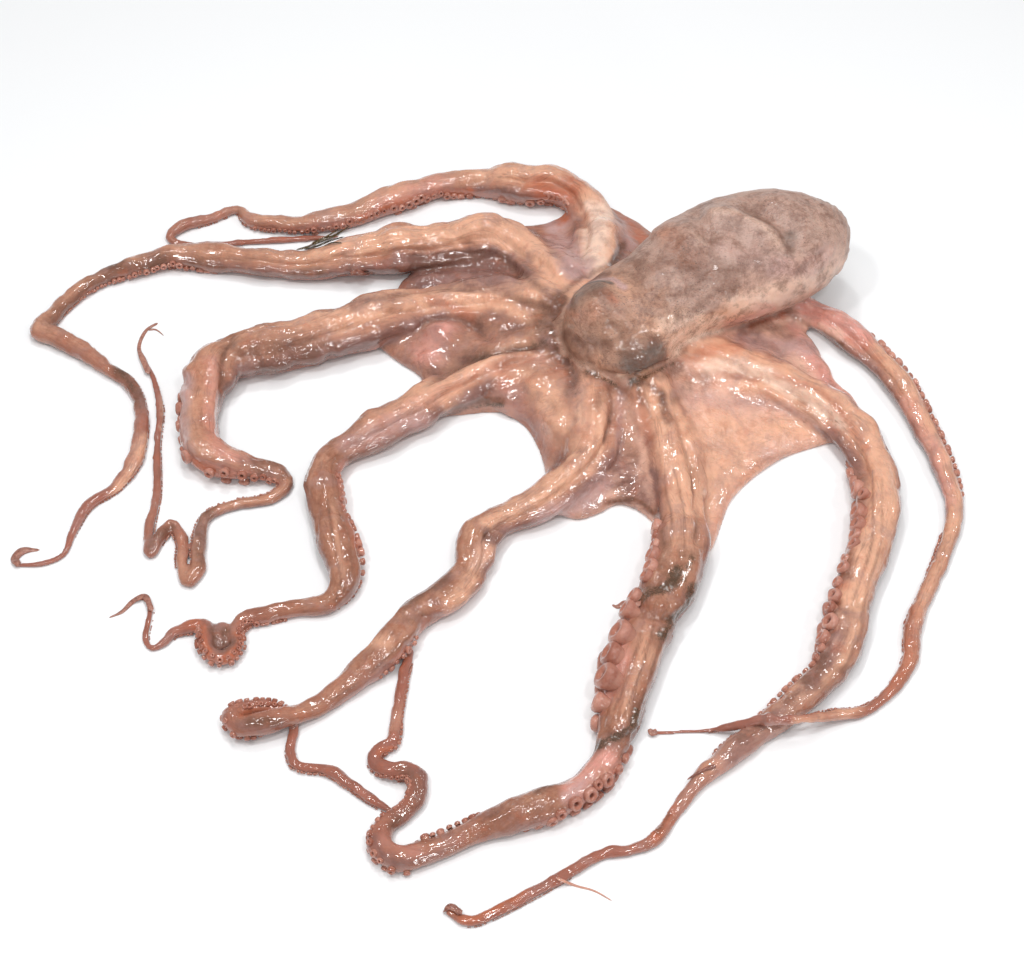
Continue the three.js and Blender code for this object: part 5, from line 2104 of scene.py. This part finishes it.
@dataclass
class Skin:
    """The whole skin, one closed mesh: arms, web, head and mantle.

    Fillets are the widths of the hollows where forms meet, in millimetres. Each number of rounds says
    how often something is evened out between neighbouring points.
    """

    arms: list[Arm]
    body: Spine
    web: Web
    relief: Relief = Relief()
    zones: Zones = Zones()
    finish: WetSkin = WetSkin()
    crown_fillet: float = 15.0
    arm_fillet: float = 0.8
    body_fillet: float = 5.0
    floor_edge: float = 2.5
    melt_run: Pair = (62.0, 128.0)
    melt_height: Pair = (2.0, 7.0)
    melt_margin: float = 20.0
    melt_rounds: int = 36
    free_height: Pair = (0.0, 3.0)
    arm_rounds: int = 6
    body_rounds: int = 3
    calm_run: float = 105.0
    calm_share: float = 0.9
    calm_rounds: int = 8
    zone_rounds: int = 7
    hollow_depth: Pair = (0.2, 1.4)
    hollow_shade_share: float = 0.75
    hollow_rounds: int = 5
    cream_cover: float = 0.8
    lay_limb: float = 0.13
    lay_apart: float = 41.0
    lay_body: Triple = (0.45, 1.0, 1.0)
    points: Array = field(init=False)
    quads: Array = field(init=False)
    lie: Lie = field(init=False)
    masks: dict[str, Array] = field(default_factory=dict)

    def grow(self) -> None:
        """Builds the closed mesh from the distance field."""
        skin = SkinField()
        skin.join(*self.web.distance(skin), Owner.WEB.value, self.crown_fillet)
        for arm in self.arms:
            window, distance, along = skin.tube(arm.spine)
            fillet = skin.crown_blend(window, self.crown_fillet, self.arm_fillet)
            skin.join(window, distance, along, arm.owner.value, fillet)
        for pad in PADS:
            skin.join(*pad.distance(skin), pad.owner.value, self.arm_fillet)
        skin.join(*skin.tube(self.body), Owner.BODY.value, self.body_fillet)
        skin.lie_down(self.floor_edge)
        self.points, self.quads = skin.surface()
        cell = np.rint((self.points - skin.low) / skin.cell).astype(int)
        cell = tuple(np.minimum(cell, np.array(skin.shape) - 1).T)
        spines = {arm.owner.value: arm.spine for arm in self.arms}
        spines[Owner.BODY.value] = self.body
        self.lie = Lie.of(self.points, self.normals(), skin.owner[cell], skin.along[cell], spines)
        self.melt()
        self.lie = Lie.of(self.points, self.normals(), skin.owner[cell], skin.along[cell], spines)

    def normals(self) -> Array:
        """Gives each point's outward direction."""
        corner = self.points[self.quads]
        face = np.cross(corner[:, 2] - corner[:, 0], corner[:, 3] - corner[:, 1])
        total = np.stack([np.bincount(self.quads.ravel(), np.repeat(face[:, c], 4), len(self.points))
                          for c in range(3)], axis=1)
        return total / (np.linalg.norm(total, axis=1, keepdims=True) + TINIEST)

    def evened(self, values: Array, rounds: int) -> Array:
        """Evens values out over the skin."""
        return spread(values, self.quads, rounds)

    def melt(self) -> None:
        """Lets the arms' roots and the web run softly into each other round the crown."""
        run = np.hypot(self.points[:, 0] - CROWN[0], self.points[:, 1] - CROWN[1])
        soft = (1 - smooth(*self.melt_run, run)) * smooth(*self.melt_height, self.points[:, 2])
        soft *= 1 - self.evened(self.lie.on_body.astype(float), 4)
        near = np.flatnonzero(run < self.melt_run[1] + self.melt_margin)
        renumber = np.full(len(self.points), -1)
        renumber[near] = np.arange(len(near))
        faces = renumber[self.quads]
        faces = faces[(faces >= 0).all(1)]
        inner = np.bincount(faces.ravel(), minlength=len(near)) > 0
        points, share = self.points[near], soft[near, None] * inner[:, None]
        for _ in range(self.melt_rounds):
            points = points + (spread(points, faces, 1) - points) * share
        self.points[near] = points

    def push(self, relief: Array) -> None:
        """Moves the skin out by a relief, but not through what it lies on."""
        free = smooth(*self.free_height, self.points[:, 2])[:, None]
        self.points = self.points + self.normals() * relief[:, None] * free
        self.points[:, 2] = np.maximum(self.points[:, 2], 0)
        self.lie.points = self.points

    def crease(self) -> None:
        """Adds the relief: flanks, folds, lumps and wrinkles, and keeps the folds' painted shade."""
        lie = self.lie
        arm = self.evened(lie.on_arm.astype(float), self.arm_rounds)
        body = self.evened(lie.on_body.astype(float), self.body_rounds)
        smooth_root = (lie.owner == Owner.REAR.value) & (lie.along < self.calm_run)
        calm = 1 - self.calm_share * self.evened(smooth_root.astype(float), self.calm_rounds)
        relief = self.relief.lumps(lie, arm, body)
        relief += self.relief.puckers(lie) * (1 - body) * calm
        relief += self.relief.flanks(lie, self.arms) * arm + self.relief.long_folds(lie) * arm * calm
        relief += self.relief.bend_folds(lie) * arm
        dark = np.zeros(len(relief))
        for fold in FOLDS:
            lift, shade = fold.lift(lie)
            relief += lift
            dark = np.maximum(dark, shade)
        self.push(self.evened(relief, 1))
        # The folds' darkness is kept as painted shade for the creases.
        self.masks["crease"] = dark

    def tint(self) -> None:
        """Works out where each colour of the skin lies."""
        lie, masks = self.lie, self.masks
        ragged = self.zones.ragged(lie)
        masks.update(self.zones.masks(lie, ragged, self.normals(), self.arms))
        for tint in Tint:
            masks[tint.value] = np.zeros(len(self.points))
        masks[Tint.SPECKLE.value] = self.zones.speckle * masks["mantle"] * (1 - masks["low"])
        for name in ("pale", "flank", "under", "tip", "web", "low", "deep", "face", "limb"):
            masks[name] = self.evened(masks[name], self.zone_rounds)
        masks["mantle"] = self.evened(masks["mantle"], 2)
        masks["whole"] = 1 - self.seams(np.where(lie.on_arm, lie.owner, -1))
        for stroke in STROKES:
            cover = stroke.cover(lie, ragged)
            masks[stroke.tint.value] = np.maximum(masks[stroke.tint.value], cover)
        edge = self.seams(lie.owner)
        for tint in Tint:
            brushed = masks[tint.value]
            masks[tint.value] = brushed + (self.evened(brushed, 3) - brushed) * edge
        # Painted shade in the folds' creases and in hollows, weaker under cream.
        bare = 1 - self.cream_cover * masks[Tint.CREAM.value]
        masks["crease"] = np.clip(masks["crease"] + self.hollows(), 0, 1) * bare

    def seams(self, numbers: Array) -> Array:
        """Finds where neighbouring points carry different numbers, fading out beside it."""
        corners = numbers[self.quads]
        mixed = self.quads[(corners != corners[:, :1]).any(axis=1)]
        seam = np.zeros(len(self.points))
        seam[mixed.ravel()] = 1.0
        return np.maximum(seam, self.evened(seam, 2))

    def hollows(self) -> Array:
        """Finds how deep each point lies in a crease, for the painted shade there."""
        flat = self.evened(self.points, self.hollow_rounds)
        depth = ((flat - self.points) * self.normals()).sum(1)
        return smooth(*self.hollow_depth, depth) * self.hollow_shade_share

    def lay(self) -> Array:
        """Gives a place on each limb, squeezed along it, for fibres in the finish."""
        lie = self.lie
        around = lie.turn + lie.roll
        on_limb = np.column_stack([lie.along * self.lay_limb + lie.owner * self.lay_apart,
                                   np.cos(around) * lie.reach, np.sin(around) * lie.reach])
        return np.where(lie.on_arm[:, None], on_limb, lie.points * self.lay_body) * MM

    def build(self) -> bpy.types.Object:
        """Makes the skin's object, with its masks and its finish."""
        self.grow()
        self.crease()
        self.tint()
        mesh = new_mesh("skin", to_frame(self.points), self.quads, self.masks)
        lay = mesh.attributes.new("lay", "FLOAT_VECTOR", "POINT")
        lay.data.foreach_set("vector", self.lay().astype(np.float32).ravel())
        return place_piece(mesh, self.finish.material())


def new_mesh(name: str, points: Array, faces: Array, values: dict[str, Array]) -> bpy.types.Mesh:
    """Makes a mesh with smooth faces that all have the same number of corners.

    Args:
        name: The mesh's name.
        points: Rows of x, y, z in metres.
        faces: Rows of point numbers.
        values: What each point carries, by name.

    Returns:
        The mesh.
    """
    count, corners = faces.shape
    mesh = bpy.data.meshes.new(name)
    mesh.vertices.add(len(points))
    mesh.vertices.foreach_set("co", points.astype(np.float32).ravel())
    mesh.loops.add(count * corners)
    mesh.loops.foreach_set("vertex_index", faces.astype(np.int32).ravel())
    mesh.polygons.add(count)
    mesh.polygons.foreach_set("loop_start", np.arange(0, count * corners, corners, dtype=np.int32))
    mesh.polygons.foreach_set("use_smooth", np.ones(count, bool))
    mesh.update(calc_edges=True)
    mesh.validate()
    for value, numbers in values.items():
        attribute = mesh.attributes.new(value, "FLOAT", "POINT")
        attribute.data.foreach_set("value", numbers.astype(np.float32))
    return mesh


def show(name: str, data: bpy.types.ID) -> bpy.types.Object:
    """Puts an object that shows a mesh, a light or a camera in the scene."""
    thing = bpy.data.objects.new(name, data)
    bpy.context.scene.collection.objects.link(thing)
    return thing


def place_piece(mesh: bpy.types.Mesh, material: bpy.types.Material) -> bpy.types.Object:
    """Puts a piece in the scene under its mesh's name, and ties it to the frame."""
    mesh.materials.append(material)
    piece = show(mesh.name, mesh)
    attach(piece, BODY_NAME)
    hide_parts(NODE)
    log.info("%s: %d points, %d faces", piece.name, len(mesh.vertices), len(mesh.polygons))
    return piece


# ---- suckers -------------------------------------------------------------------------------------


@dataclass(frozen=True)
class SuckerFinish:
    """Suckers: a wet red-brown rim round a pale cup with a dark middle."""

    rim: Colour = srgb(208, 152, 134)
    rim_deep: Colour = srgb(154, 94, 76)
    coats: tuple[Coat, ...] = (
        Coat("cup", srgb(182, 118, 98), start=0.3, full=0.7),
        Coat("hole", srgb(118, 64, 48), start=0.3, full=0.9),
        Coat("stalk", srgb(186, 132, 114), start=0.2, full=0.8),
    )
    cloud: Pattern = Pattern(600.0, 3.0, 0.6)
    blotch: Pattern = Pattern(90.0, 2.0, 0.5)
    relief: Pattern = Pattern(1500.0, 3.0, 0.5)
    uneven: Pair = (0.8, 1.6)
    rough: Pair = (0.16, 0.2)
    water: float = 0.5
    wetness: Wetness = Wetness(0.6, 0.18, 0.003, 0.05, 0.0005, 0.6)

    def material(self) -> bpy.types.Material:
        """Builds the material."""
        bench = Bench("suckers")
        across = bench.across()
        cloud = self.cloud.swing(bench, across)
        fine, coarse = self.uneven
        deep = bench.mask("mood") + cloud * fine + self.blotch.swing(bench, across) * coarse
        colour = bench.blend(deep, self.rim, self.rim_deep)
        for coat in self.coats:
            colour = coat.over(bench, colour)
        rough = self.rough[0] + cloud * self.rough[1]
        return self.wetness.finish(bench, colour, rough, self.relief.value(bench, across),
                                   self.water - cloud)


@dataclass(frozen=True)
class Cup:
    """The turned shape of one sucker, in its own radii; every row is a ring from stalk to hole.

    Attributes:
        rings: Radius, height, then how much each is cup, hole and stalk.
        sides: How many points go round.
        lobes: How many times its rim swells.
        swell: How far it swells.
    """

    rings: tuple[tuple[float, float, float, float, float], ...] = (
        (0.76, -0.80, 0, 0, 1), (0.84, -0.35, 0, 0, 1), (1.00, 0.05, 0, 0, 0.3),
        (1.06, 0.34, 0, 0, 0), (0.98, 0.62, 0, 0, 0), (0.80, 0.78, 0, 0, 0),
        (0.60, 0.78, 0.5, 0, 0), (0.42, 0.62, 1, 0.2, 0), (0.28, 0.44, 0.6, 0.7, 0),
        (0.14, 0.22, 0, 1, 0), (0.02, 0.16, 0, 1, 0),
    )
    sides: int = 14
    lobes: int = 5
    swell: float = 0.035

    def mesh(self) -> tuple[Array, Array, Array]:
        """Gives one sucker.

        Returns:
            Points, faces and the three masks at each point.
        """
        table = np.array(self.rings, float)
        radius, height = table[:, :1], table[:, 1:2]
        around = np.arange(self.sides) * FULL_TURN / self.sides
        wave = 1 + self.swell * np.sin(around * self.lobes) * (height > 0)
        rings = [radius * np.cos(around) * wave, radius * np.sin(around) * wave,
                 np.repeat(height, self.sides, axis=1)]
        return (np.stack(rings, axis=-1).reshape(-1, 3), grid_faces(len(table), self.sides, closed=True),
                np.repeat(table[:, 2:], self.sides, axis=0))


@dataclass
class Suckers:
    """Two rows of suckers along every arm, wherever they clear what the arm lies on.

    Attributes:
        arms: The arms.
        finish: What they are finished with.
        start: Where the rows start, in millimetres from the crown.
        tip_gap: How far before the tip they end.
        to_arm: A sucker's width as a share of the arm's.
        pitch: The distance to the next pair, in radii.
        row_angle: How far each row is from the middle of the sucker side, degrees.
        extra_roll: How much further than the arm the rows roll.
        small: The radius up to which a sucker counts as small, in millimetres.
        lowest: The least height of a sucker's middle.
        least: The size in an arm's plan up to which none is set.
        stand: How much further a sucker of a larger size stands out.
        common: The size at which it stands out by nothing.
        radii: The least and the most that chance makes of a radius.
        nudge: How far chance moves a sucker along the arm, in radii.
        stray: How far chance turns it round the arm, degrees.
        root_mood: How dark the suckers are at the root.
        mood_spread: How much chance changes that.
    """

    arms: list[Arm]
    finish: SuckerFinish = SuckerFinish()
    start: float = 24.0
    tip_gap: float = 2.0
    to_arm: float = 0.42
    pitch: float = 2.0
    row_angle: float = 30.0
    extra_roll: float = 1.5
    small: float = 1.7
    lowest: float = 0.4
    least: float = 0.25
    stand: float = 0.4
    common: float = 0.85
    radii: Pair = (0.72, 1.18)
    nudge: float = 0.4
    stray: float = 9.0
    root_mood: float = 0.25
    mood_spread: float = 0.25

    RADIUS = 9
    MOOD = 10

    def seats(self) -> Array:
        """Finds every sucker's seat.

        Returns:
            Rows of middle (3), facing (3), out (3), radius and mood.
        """
        rng = np.random.default_rng(int(Seed.SEATS))
        rows = []
        for arm in self.arms:
            spine, along = arm.spine, self.start
            while along < spine.length - self.tip_gap:
                row = np.array([along / spine.step])
                width = float(rows_at(spine.wide, row)[0]) * 2
                size, roll = arm.suckers_at(along)
                span = width * self.to_arm / 2 * max(size, self.least)
                out_by = self.stand * (size - self.common)
                for turn in (-self.row_angle, self.row_angle):
                    radius = span * rng.uniform(*self.radii)
                    nudge = span * rng.uniform(-self.nudge, self.nudge) / spine.step
                    turn = turn - roll + rng.uniform(-self.stray, self.stray)
                    seat = self.seat(spine, row + nudge, turn, radius, out_by)
                    if seat[2] > self.lowest and size > self.least:
                        chance = rng.uniform(-self.mood_spread, self.mood_spread)
                        mood = self.root_mood + (1 - self.root_mood) * along / spine.length + chance
                        rows.append(np.concatenate([seat, [radius, np.clip(mood, 0, 1)]]))
                along += span * self.pitch
        return np.array(rows)

    def seat(self, spine: Spine, row: Array, turn: float, radius: float, out_by: float) -> Array:
        """Places one sucker on its arm.

        Args:
            spine: The arm's middle line.
            row: Where along it, in rows.
            turn: Which way round from the middle of the sucker side, degrees.
            radius: The sucker's radius.
            out_by: How far its middle stands out of the arm, in radii.

        Returns:
            Middle, facing and out, nine numbers.
        """
        middle, out = rows_at(spine.middle, row)[0], rows_at(spine.out, row)[0]
        left = rows_at(spine.left, row)[0]
        up = np.cross(out, left)
        wide, high = float(rows_at(spine.wide, row)[0]), float(rows_at(spine.high, row)[0])
        angle = math.pi - float(rows_at(spine.roll, row)[0]) * self.extra_roll + math.radians(turn)
        facing = up * math.cos(angle) + left * math.sin(angle)
        reach = 1 / math.hypot(math.cos(angle) / high, math.sin(angle) / wide)
        seat = middle + facing * (reach + radius * out_by)
        return np.concatenate([seat, facing, out])

    def build(self) -> list[bpy.types.Object]:
        """Makes the large and the small suckers, one piece for each size."""
        seats = self.seats()
        large = seats[:, self.RADIUS] > self.small
        material = self.finish.material()
        coarse = Cup(rings=Cup().rings[1::2], sides=9)
        return [place_piece(self.mesh("suckers_large", seats[large], Cup()), material),
                place_piece(self.mesh("suckers_small", seats[~large], coarse), material)]

    def mesh(self, name: str, seats: Array, cup: Cup) -> bpy.types.Mesh:
        """Joins one size of suckers into a mesh.

        Args:
            name: The mesh's name.
            seats: Rows of the suckers' places, as seats() gives them.
            cup: The shape of one sucker.

        Returns:
            The mesh.
        """
        points, faces, masks = cup.mesh()
        facing, out, radius = seats[:, 3:6], seats[:, 6:9], seats[:, self.RADIUS]
        axes = np.stack([out, np.cross(facing, out), facing], axis=1)
        placed = np.einsum("vk,nkc->nvc", points, axes) * radius[:, None, None] + seats[:, None, :3]
        placed[..., 2] = np.maximum(placed[..., 2], JUST_ABOVE)
        faces = faces[None] + (np.arange(len(seats)) * len(points))[:, None, None]
        values = {mask: np.tile(masks[:, column], len(seats))
                  for column, mask in enumerate(("cup", "hole", "stalk"))}
        values["mood"] = np.repeat(seats[:, self.MOOD], len(points))
        return new_mesh(name, to_frame(placed.reshape(-1, 3)), faces.reshape(-1, 4), values)


# ---- loose bits ----------------------------------------------------------------------------------


@dataclass(frozen=True)
class Tongue:
    """A loose strip of skin or weed, drawn on the sheet.

    Attributes:
        line: Its corners on the sheet, ending at its tip.
        widths: Its half width in millimetres, at evenly spread places.
        mood: 0 is pale, 1 is dark.
    """

    line: Line
    widths: tuple[float, ...]
    mood: float

    STEPS = 7
    SIDES = 10
    FLATNESS = 0.4
    THINNEST = 0.35
    END = 0.05
    LIFT = 0.6
    UNEVEN = 0.18
    UNEVEN_ALONG = 9
    UNEVEN_SIZE = 20

    def rings(self, ground: "Ground") -> Array:
        """Lays the strip over what is under it.

        Args:
            ground: What is under it.

        Returns:
            A ring of points for each step along it.
        """
        marks = catmull(np.array(self.line, float), self.STEPS)
        places = np.linspace(0, 1, len(marks))
        wide = np.interp(places, np.linspace(0, 1, len(self.widths)), self.widths)
        run = np.column_stack([places * self.UNEVEN_ALONG, marks / self.UNEVEN_SIZE])
        wide *= 1 + self.UNEVEN * Grain(Seed.STRIPS).at(run)
        wide[[0, -1]] = self.END
        high = np.maximum(wide * self.FLATNESS, self.THINNEST)
        high[[0, -1]] = self.END
        middle = ground.lay_on(marks)
        middle[:, 2] += high * self.LIFT
        out = unit(np.gradient(middle, axis=0))
        side = unit(np.cross(UP, out))
        up = np.cross(out, side)
        angle = np.arange(self.SIDES) * FULL_TURN / self.SIDES
        ring = (side[:, None] * (np.cos(angle)[None, :, None] * wide[:, None, None])
                + up[:, None] * (np.sin(angle)[None, :, None] * high[:, None, None]))
        return middle[:, None] + ring


@dataclass(frozen=True)
class Ground:
    """What shows behind the sheet: the skin, or the floor beside it."""

    skin: Array

    NEAR = 2.4
    ROUNDS = 2

    def lay_on(self, marks: Array) -> Array:
        """Finds the places behind marks on the sheet.

        Args:
            marks: Rows of x and y on the sheet, along one line.

        Returns:
            Rows of x, y, z in drawing millimetres, evened out along the line.
        """
        rays = EYE.rays(marks)
        depth = -EYE.place[2] / rays[:, 2]
        shown = EYE.on_sheet(self.skin)
        far = (self.skin - EYE.place) @ EYE.ahead
        for i, mark in enumerate(marks):
            near = np.abs(shown - mark).max(1) < self.NEAR
            if near.any():
                depth[i] = min(depth[i], far[near].min())
        for _ in range(self.ROUNDS):
            depth[1:-1] = (depth[:-2] + 2 * depth[1:-1] + depth[2:]) / 4
        return EYE.place + rays * depth[:, None]


@dataclass(frozen=True)
class StripFinish:
    """Loose strips: wet fibres from a pale to a dark colour."""

    name: str
    pale: Colour
    dark: Colour
    cloud: Pattern = Pattern(500.0, 4.0, 0.65)
    relief: Pattern = Pattern(900.0, 3.0, 0.6)
    uneven: float = 1.4
    rough: Pair = (0.2, 0.3)
    water: float = 0.5
    wetness: Wetness = Wetness(0.6, 0.15, 0.002, 0.04, 0.0004, 0.7)

    def material(self) -> bpy.types.Material:
        """Builds the material."""
        bench = Bench(self.name)
        across = bench.across()
        cloud = self.cloud.swing(bench, across)
        colour = bench.blend(bench.mask("mood") + cloud * self.uneven, self.pale, self.dark)
        rough = self.rough[0] + cloud * self.rough[1]
        return self.wetness.finish(bench, colour, rough, self.relief.value(bench, across),
                                   self.water + cloud)


FLAPS: tuple[Tongue, ...] = (
    Tongue(((149, 374), (144, 362), (139, 348), (146, 331), (158, 323)), (1.6, 1.9, 1.3, 1.1, 0.9), 0.6),
    Tongue(((148, 330), (156, 330), (164, 336)), (0.9, 0.6, 0.2), 0.7),
    Tongue(((152, 612), (145, 597), (134, 601), (122, 612), (109, 618)), (1.8, 1.8, 1.6, 1.1, 0.4), 0.7),
    Tongue(((640, 606), (626, 604), (617, 607), (612, 605)), (3.6, 2.6, 1.4, 0.4), 0.6),
    Tongue(((716, 766), (706, 769), (696, 774), (687, 780)), (1.4, 1.0, 0.6, 0.3), 0.9),
    Tongue(((556, 878), (576, 886), (594, 891), (612, 901)), (1.0, 0.7, 0.5, 0.3), 0.2),
    Tongue(((462, 914), (450, 907), (443, 912)), (1.6, 1.8, 0.8), 0.8),
    Tongue(((20, 566), (15, 560), (22, 552), (40, 550)), (1.6, 2.4, 2.6, 0.8), 0.7),
    Tongue(((350, 274), (358, 273), (368, 275)), (2.2, 3.0, 2.0), 0.9),
    Tongue(((657, 732), (652, 733), (649, 729)), (1.8, 2.2, 0.8), 0.6),
)

WEED: tuple[Tongue, ...] = (
    Tongue(((296, 250), (308, 247), (320, 241), (334, 236), (350, 226)), (0.4, 1.2, 1.5, 1.0, 0.3), 0.6),
    Tongue(((304, 250), (318, 246), (330, 241), (344, 237)), (0.3, 0.9, 0.9, 0.3), 0.9),
    Tongue(((312, 243), (324, 238), (338, 230)), (0.3, 0.7, 0.3), 0.4),
    Tongue(((324, 246), (332, 243), (342, 243)), (0.3, 0.6, 0.3), 0.8),
)


@dataclass
class LooseBits:
    """Flaps and threads of skin, and the bits of weed that stuck to it."""

    ground: Ground

    def build(self) -> list[bpy.types.Object]:
        """Makes the flaps and the weed."""
        flesh = StripFinish("flaps", srgb(214, 158, 138), srgb(120, 72, 60))
        weed = StripFinish("weed", srgb(112, 92, 56), srgb(44, 36, 24))
        return [self.piece(FLAPS, flesh), self.piece(WEED, weed)]

    def piece(self, strips: tuple[Tongue, ...], finish: StripFinish) -> bpy.types.Object:
        """Joins strips into one piece.

        Args:
            strips: The strips.
            finish: Their finish, which gives the piece its name.

        Returns:
            The piece.
        """
        points, faces, moods, first = [], [], [], 0
        for strip in strips:
            rings = strip.rings(self.ground)
            rows, sides = rings.shape[:2]
            points.append(rings.reshape(-1, 3))
            faces.append(grid_faces(rows, sides, closed=True) + first)
            moods.append(np.full(rows * sides, strip.mood))
            first += rows * sides
        placed = np.vstack(points)
        placed[:, 2] = np.maximum(placed[:, 2], JUST_ABOVE)
        mesh = new_mesh(finish.name, to_frame(placed), np.vstack(faces), {"mood": np.concatenate(moods)})
        return place_piece(mesh, finish.material())


# ---- studio --------------------------------------------------------------------------------------


@dataclass(frozen=True)
class Softbox:
    """One soft light aimed at the octopus.

    Attributes:
        name: Plain name.
        place: Where it hangs, in metres.
        size: Its diameter in metres.
        power: Watts.
        glints: Whether wet skin mirrors it.
    """

    name: str
    place: Triple
    size: float
    power: float
    glints: bool = True

    def build(self, target: Vector) -> None:
        """Hangs the light."""
        data = bpy.data.lights.new(self.name, "AREA")
        data.shape = "DISK"
        data.size = self.size
        data.energy = self.power
        light = show(self.name, data)
        light.location = self.place
        light.rotation_euler = (target - light.location).to_track_quat("-Z", "Y").to_euler()
        light.visible_glossy = self.glints


@dataclass(frozen=True)
class Studio:
    """The pale floor, the lights and the camera."""

    floor_half: float = 1.5
    floor_steps: int = 24
    floor_colour: Colour = srgb(246, 247, 248)
    floor_shade: Colour = srgb(238, 241, 244)
    floor_grain: Pattern = Pattern(30.0, 3.0, 0.6)
    floor_uneven: float = 0.12
    floor_rough: Pair = (0.6, 0.1)
    floor_mirror: float = 0.2
    film_width: float = 36.0
    sky: float = 0.32
    backdrop: float = 0.9
    lights: tuple[Softbox, ...] = (
        Softbox("overhead", (0.0, 0.25, 1.7), 1.1, 6.2, False),
        Softbox("front", (-0.3, -1.1, 1.3), 0.9, 4.8, False),
        Softbox("left_box", (-0.5, -0.3, 1.4), 0.17, 4.6),
        Softbox("right_box", (0.45, -0.45, 1.45), 0.15, 3.4),
        Softbox("rear_box", (-0.1, 0.55, 1.45), 0.15, 3.2),
        Softbox("side_box", (1.0, 0.0, 1.1), 0.15, 2.4),
        Softbox("low_box", (0.75, -1.2, 0.4), 0.16, 1.8),
        Softbox("high_box", (0.1, -0.1, 1.6), 0.1, 1.6),
    )

    def floor(self) -> None:
        """Lays the floor."""
        line = np.linspace(-self.floor_half, self.floor_half, self.floor_steps + 1)
        x, y = np.meshgrid(line, line, indexing="ij")
        points = np.column_stack([x.ravel(), y.ravel(), np.zeros(x.size)])
        mesh = new_mesh("floor", points, grid_faces(len(line), len(line))[:, ::-1], {})
        bench = Bench("pale_floor")
        grain = self.floor_grain.value(bench, bench.across())
        rough, uneven = self.floor_rough
        mesh.materials.append(bench.finish({
            "Base Color": bench.blend(grain * self.floor_uneven, self.floor_colour, self.floor_shade),
            "Roughness": rough + (grain - Pattern.MIDDLE) * uneven,
            "Specular IOR Level": self.floor_mirror,
        }))
        floor = show("floor", mesh)

    def camera(self) -> None:
        """Sets the camera at the same angle on the octopus as a standing cook's."""
        data = bpy.data.cameras.new("camera")
        data.sensor_fit = "HORIZONTAL"
        data.sensor_width = self.film_width
        data.lens = self.film_width / 2 / math.tan(EYE.view / 2)
        camera = show("camera", data)
        camera.location = to_frame(EYE.place)
        camera.rotation_euler = (math.pi / 2 - EYE.elevation, 0, 0)
        bpy.context.scene.camera = camera

    def sky_light(self) -> None:
        """Fills the room with even soft light, in front of a pale backdrop."""
        world = bpy.data.worlds.new("room")
        world.use_nodes = True
        tree = world.node_tree
        background = tree.nodes["Background"]
        background.inputs["Color"].default_value = (1.0, 1.0, 1.0, 1.0)
        seen = tree.nodes.new("ShaderNodeLightPath")
        level = tree.nodes.new("ShaderNodeMapRange")
        level.inputs["To Min"].default_value = self.sky
        level.inputs["To Max"].default_value = self.backdrop
        tree.links.new(seen.outputs["Is Camera Ray"], level.inputs["Value"])
        tree.links.new(level.outputs["Result"], background.inputs["Strength"])
        bpy.context.scene.world = world

    def build(self) -> None:
        """Sets up the whole studio."""
        bpy.context.scene.view_settings.view_transform = "Standard"
        self.floor()
        self.camera()
        self.sky_light()
        for light in self.lights:
            light.build(Vector(to_frame(np.zeros(3))))


def main() -> None:
    """Builds the octopus and its studio."""
    logging.basicConfig(level=logging.INFO, format="%(message)s")
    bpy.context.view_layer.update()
    arms = [
        Arm(Owner.REAR, REAR_ARM, 1.0, 200.0, 0.5, REAR_SUCKERS),
        Arm(Owner.LEFT_REAR, LEFT_REAR_ARM, 1.0, 330.0, 0.7, LEFT_REAR_SUCKERS),
        Arm(Owner.LEFT, LEFT_ARM, 1.0, 260.0, 0.7, LEFT_SUCKERS),
        Arm(Owner.LEFT_FRONT, LEFT_FRONT_ARM, 1.0, 200.0, 1.0, LEFT_FRONT_SUCKERS),
        Arm(Owner.FRONT_LEFT, FRONT_LEFT_ARM, 1.0, 220.0, 0.9, FRONT_LEFT_SUCKERS),
        Arm(Owner.FRONT, FRONT_ARM, 0.0, 1.0, 1.0, FRONT_SUCKERS),
        Arm(Owner.RIGHT, RIGHT_ARM, -1.0, 230.0, 0.15, RIGHT_SUCKERS),
        Arm(Owner.RIGHT_REAR, RIGHT_REAR_ARM, -1.0, 220.0, 0.25, RIGHT_REAR_SUCKERS),
    ]
    skin = Skin(arms, body_spine(), Web())
    skin.build()
    Suckers(arms).build()
    LooseBits(Ground(skin.points[skin.lie.facing > 0])).build()
    Studio().build()


if __name__ == "__main__":
    main()
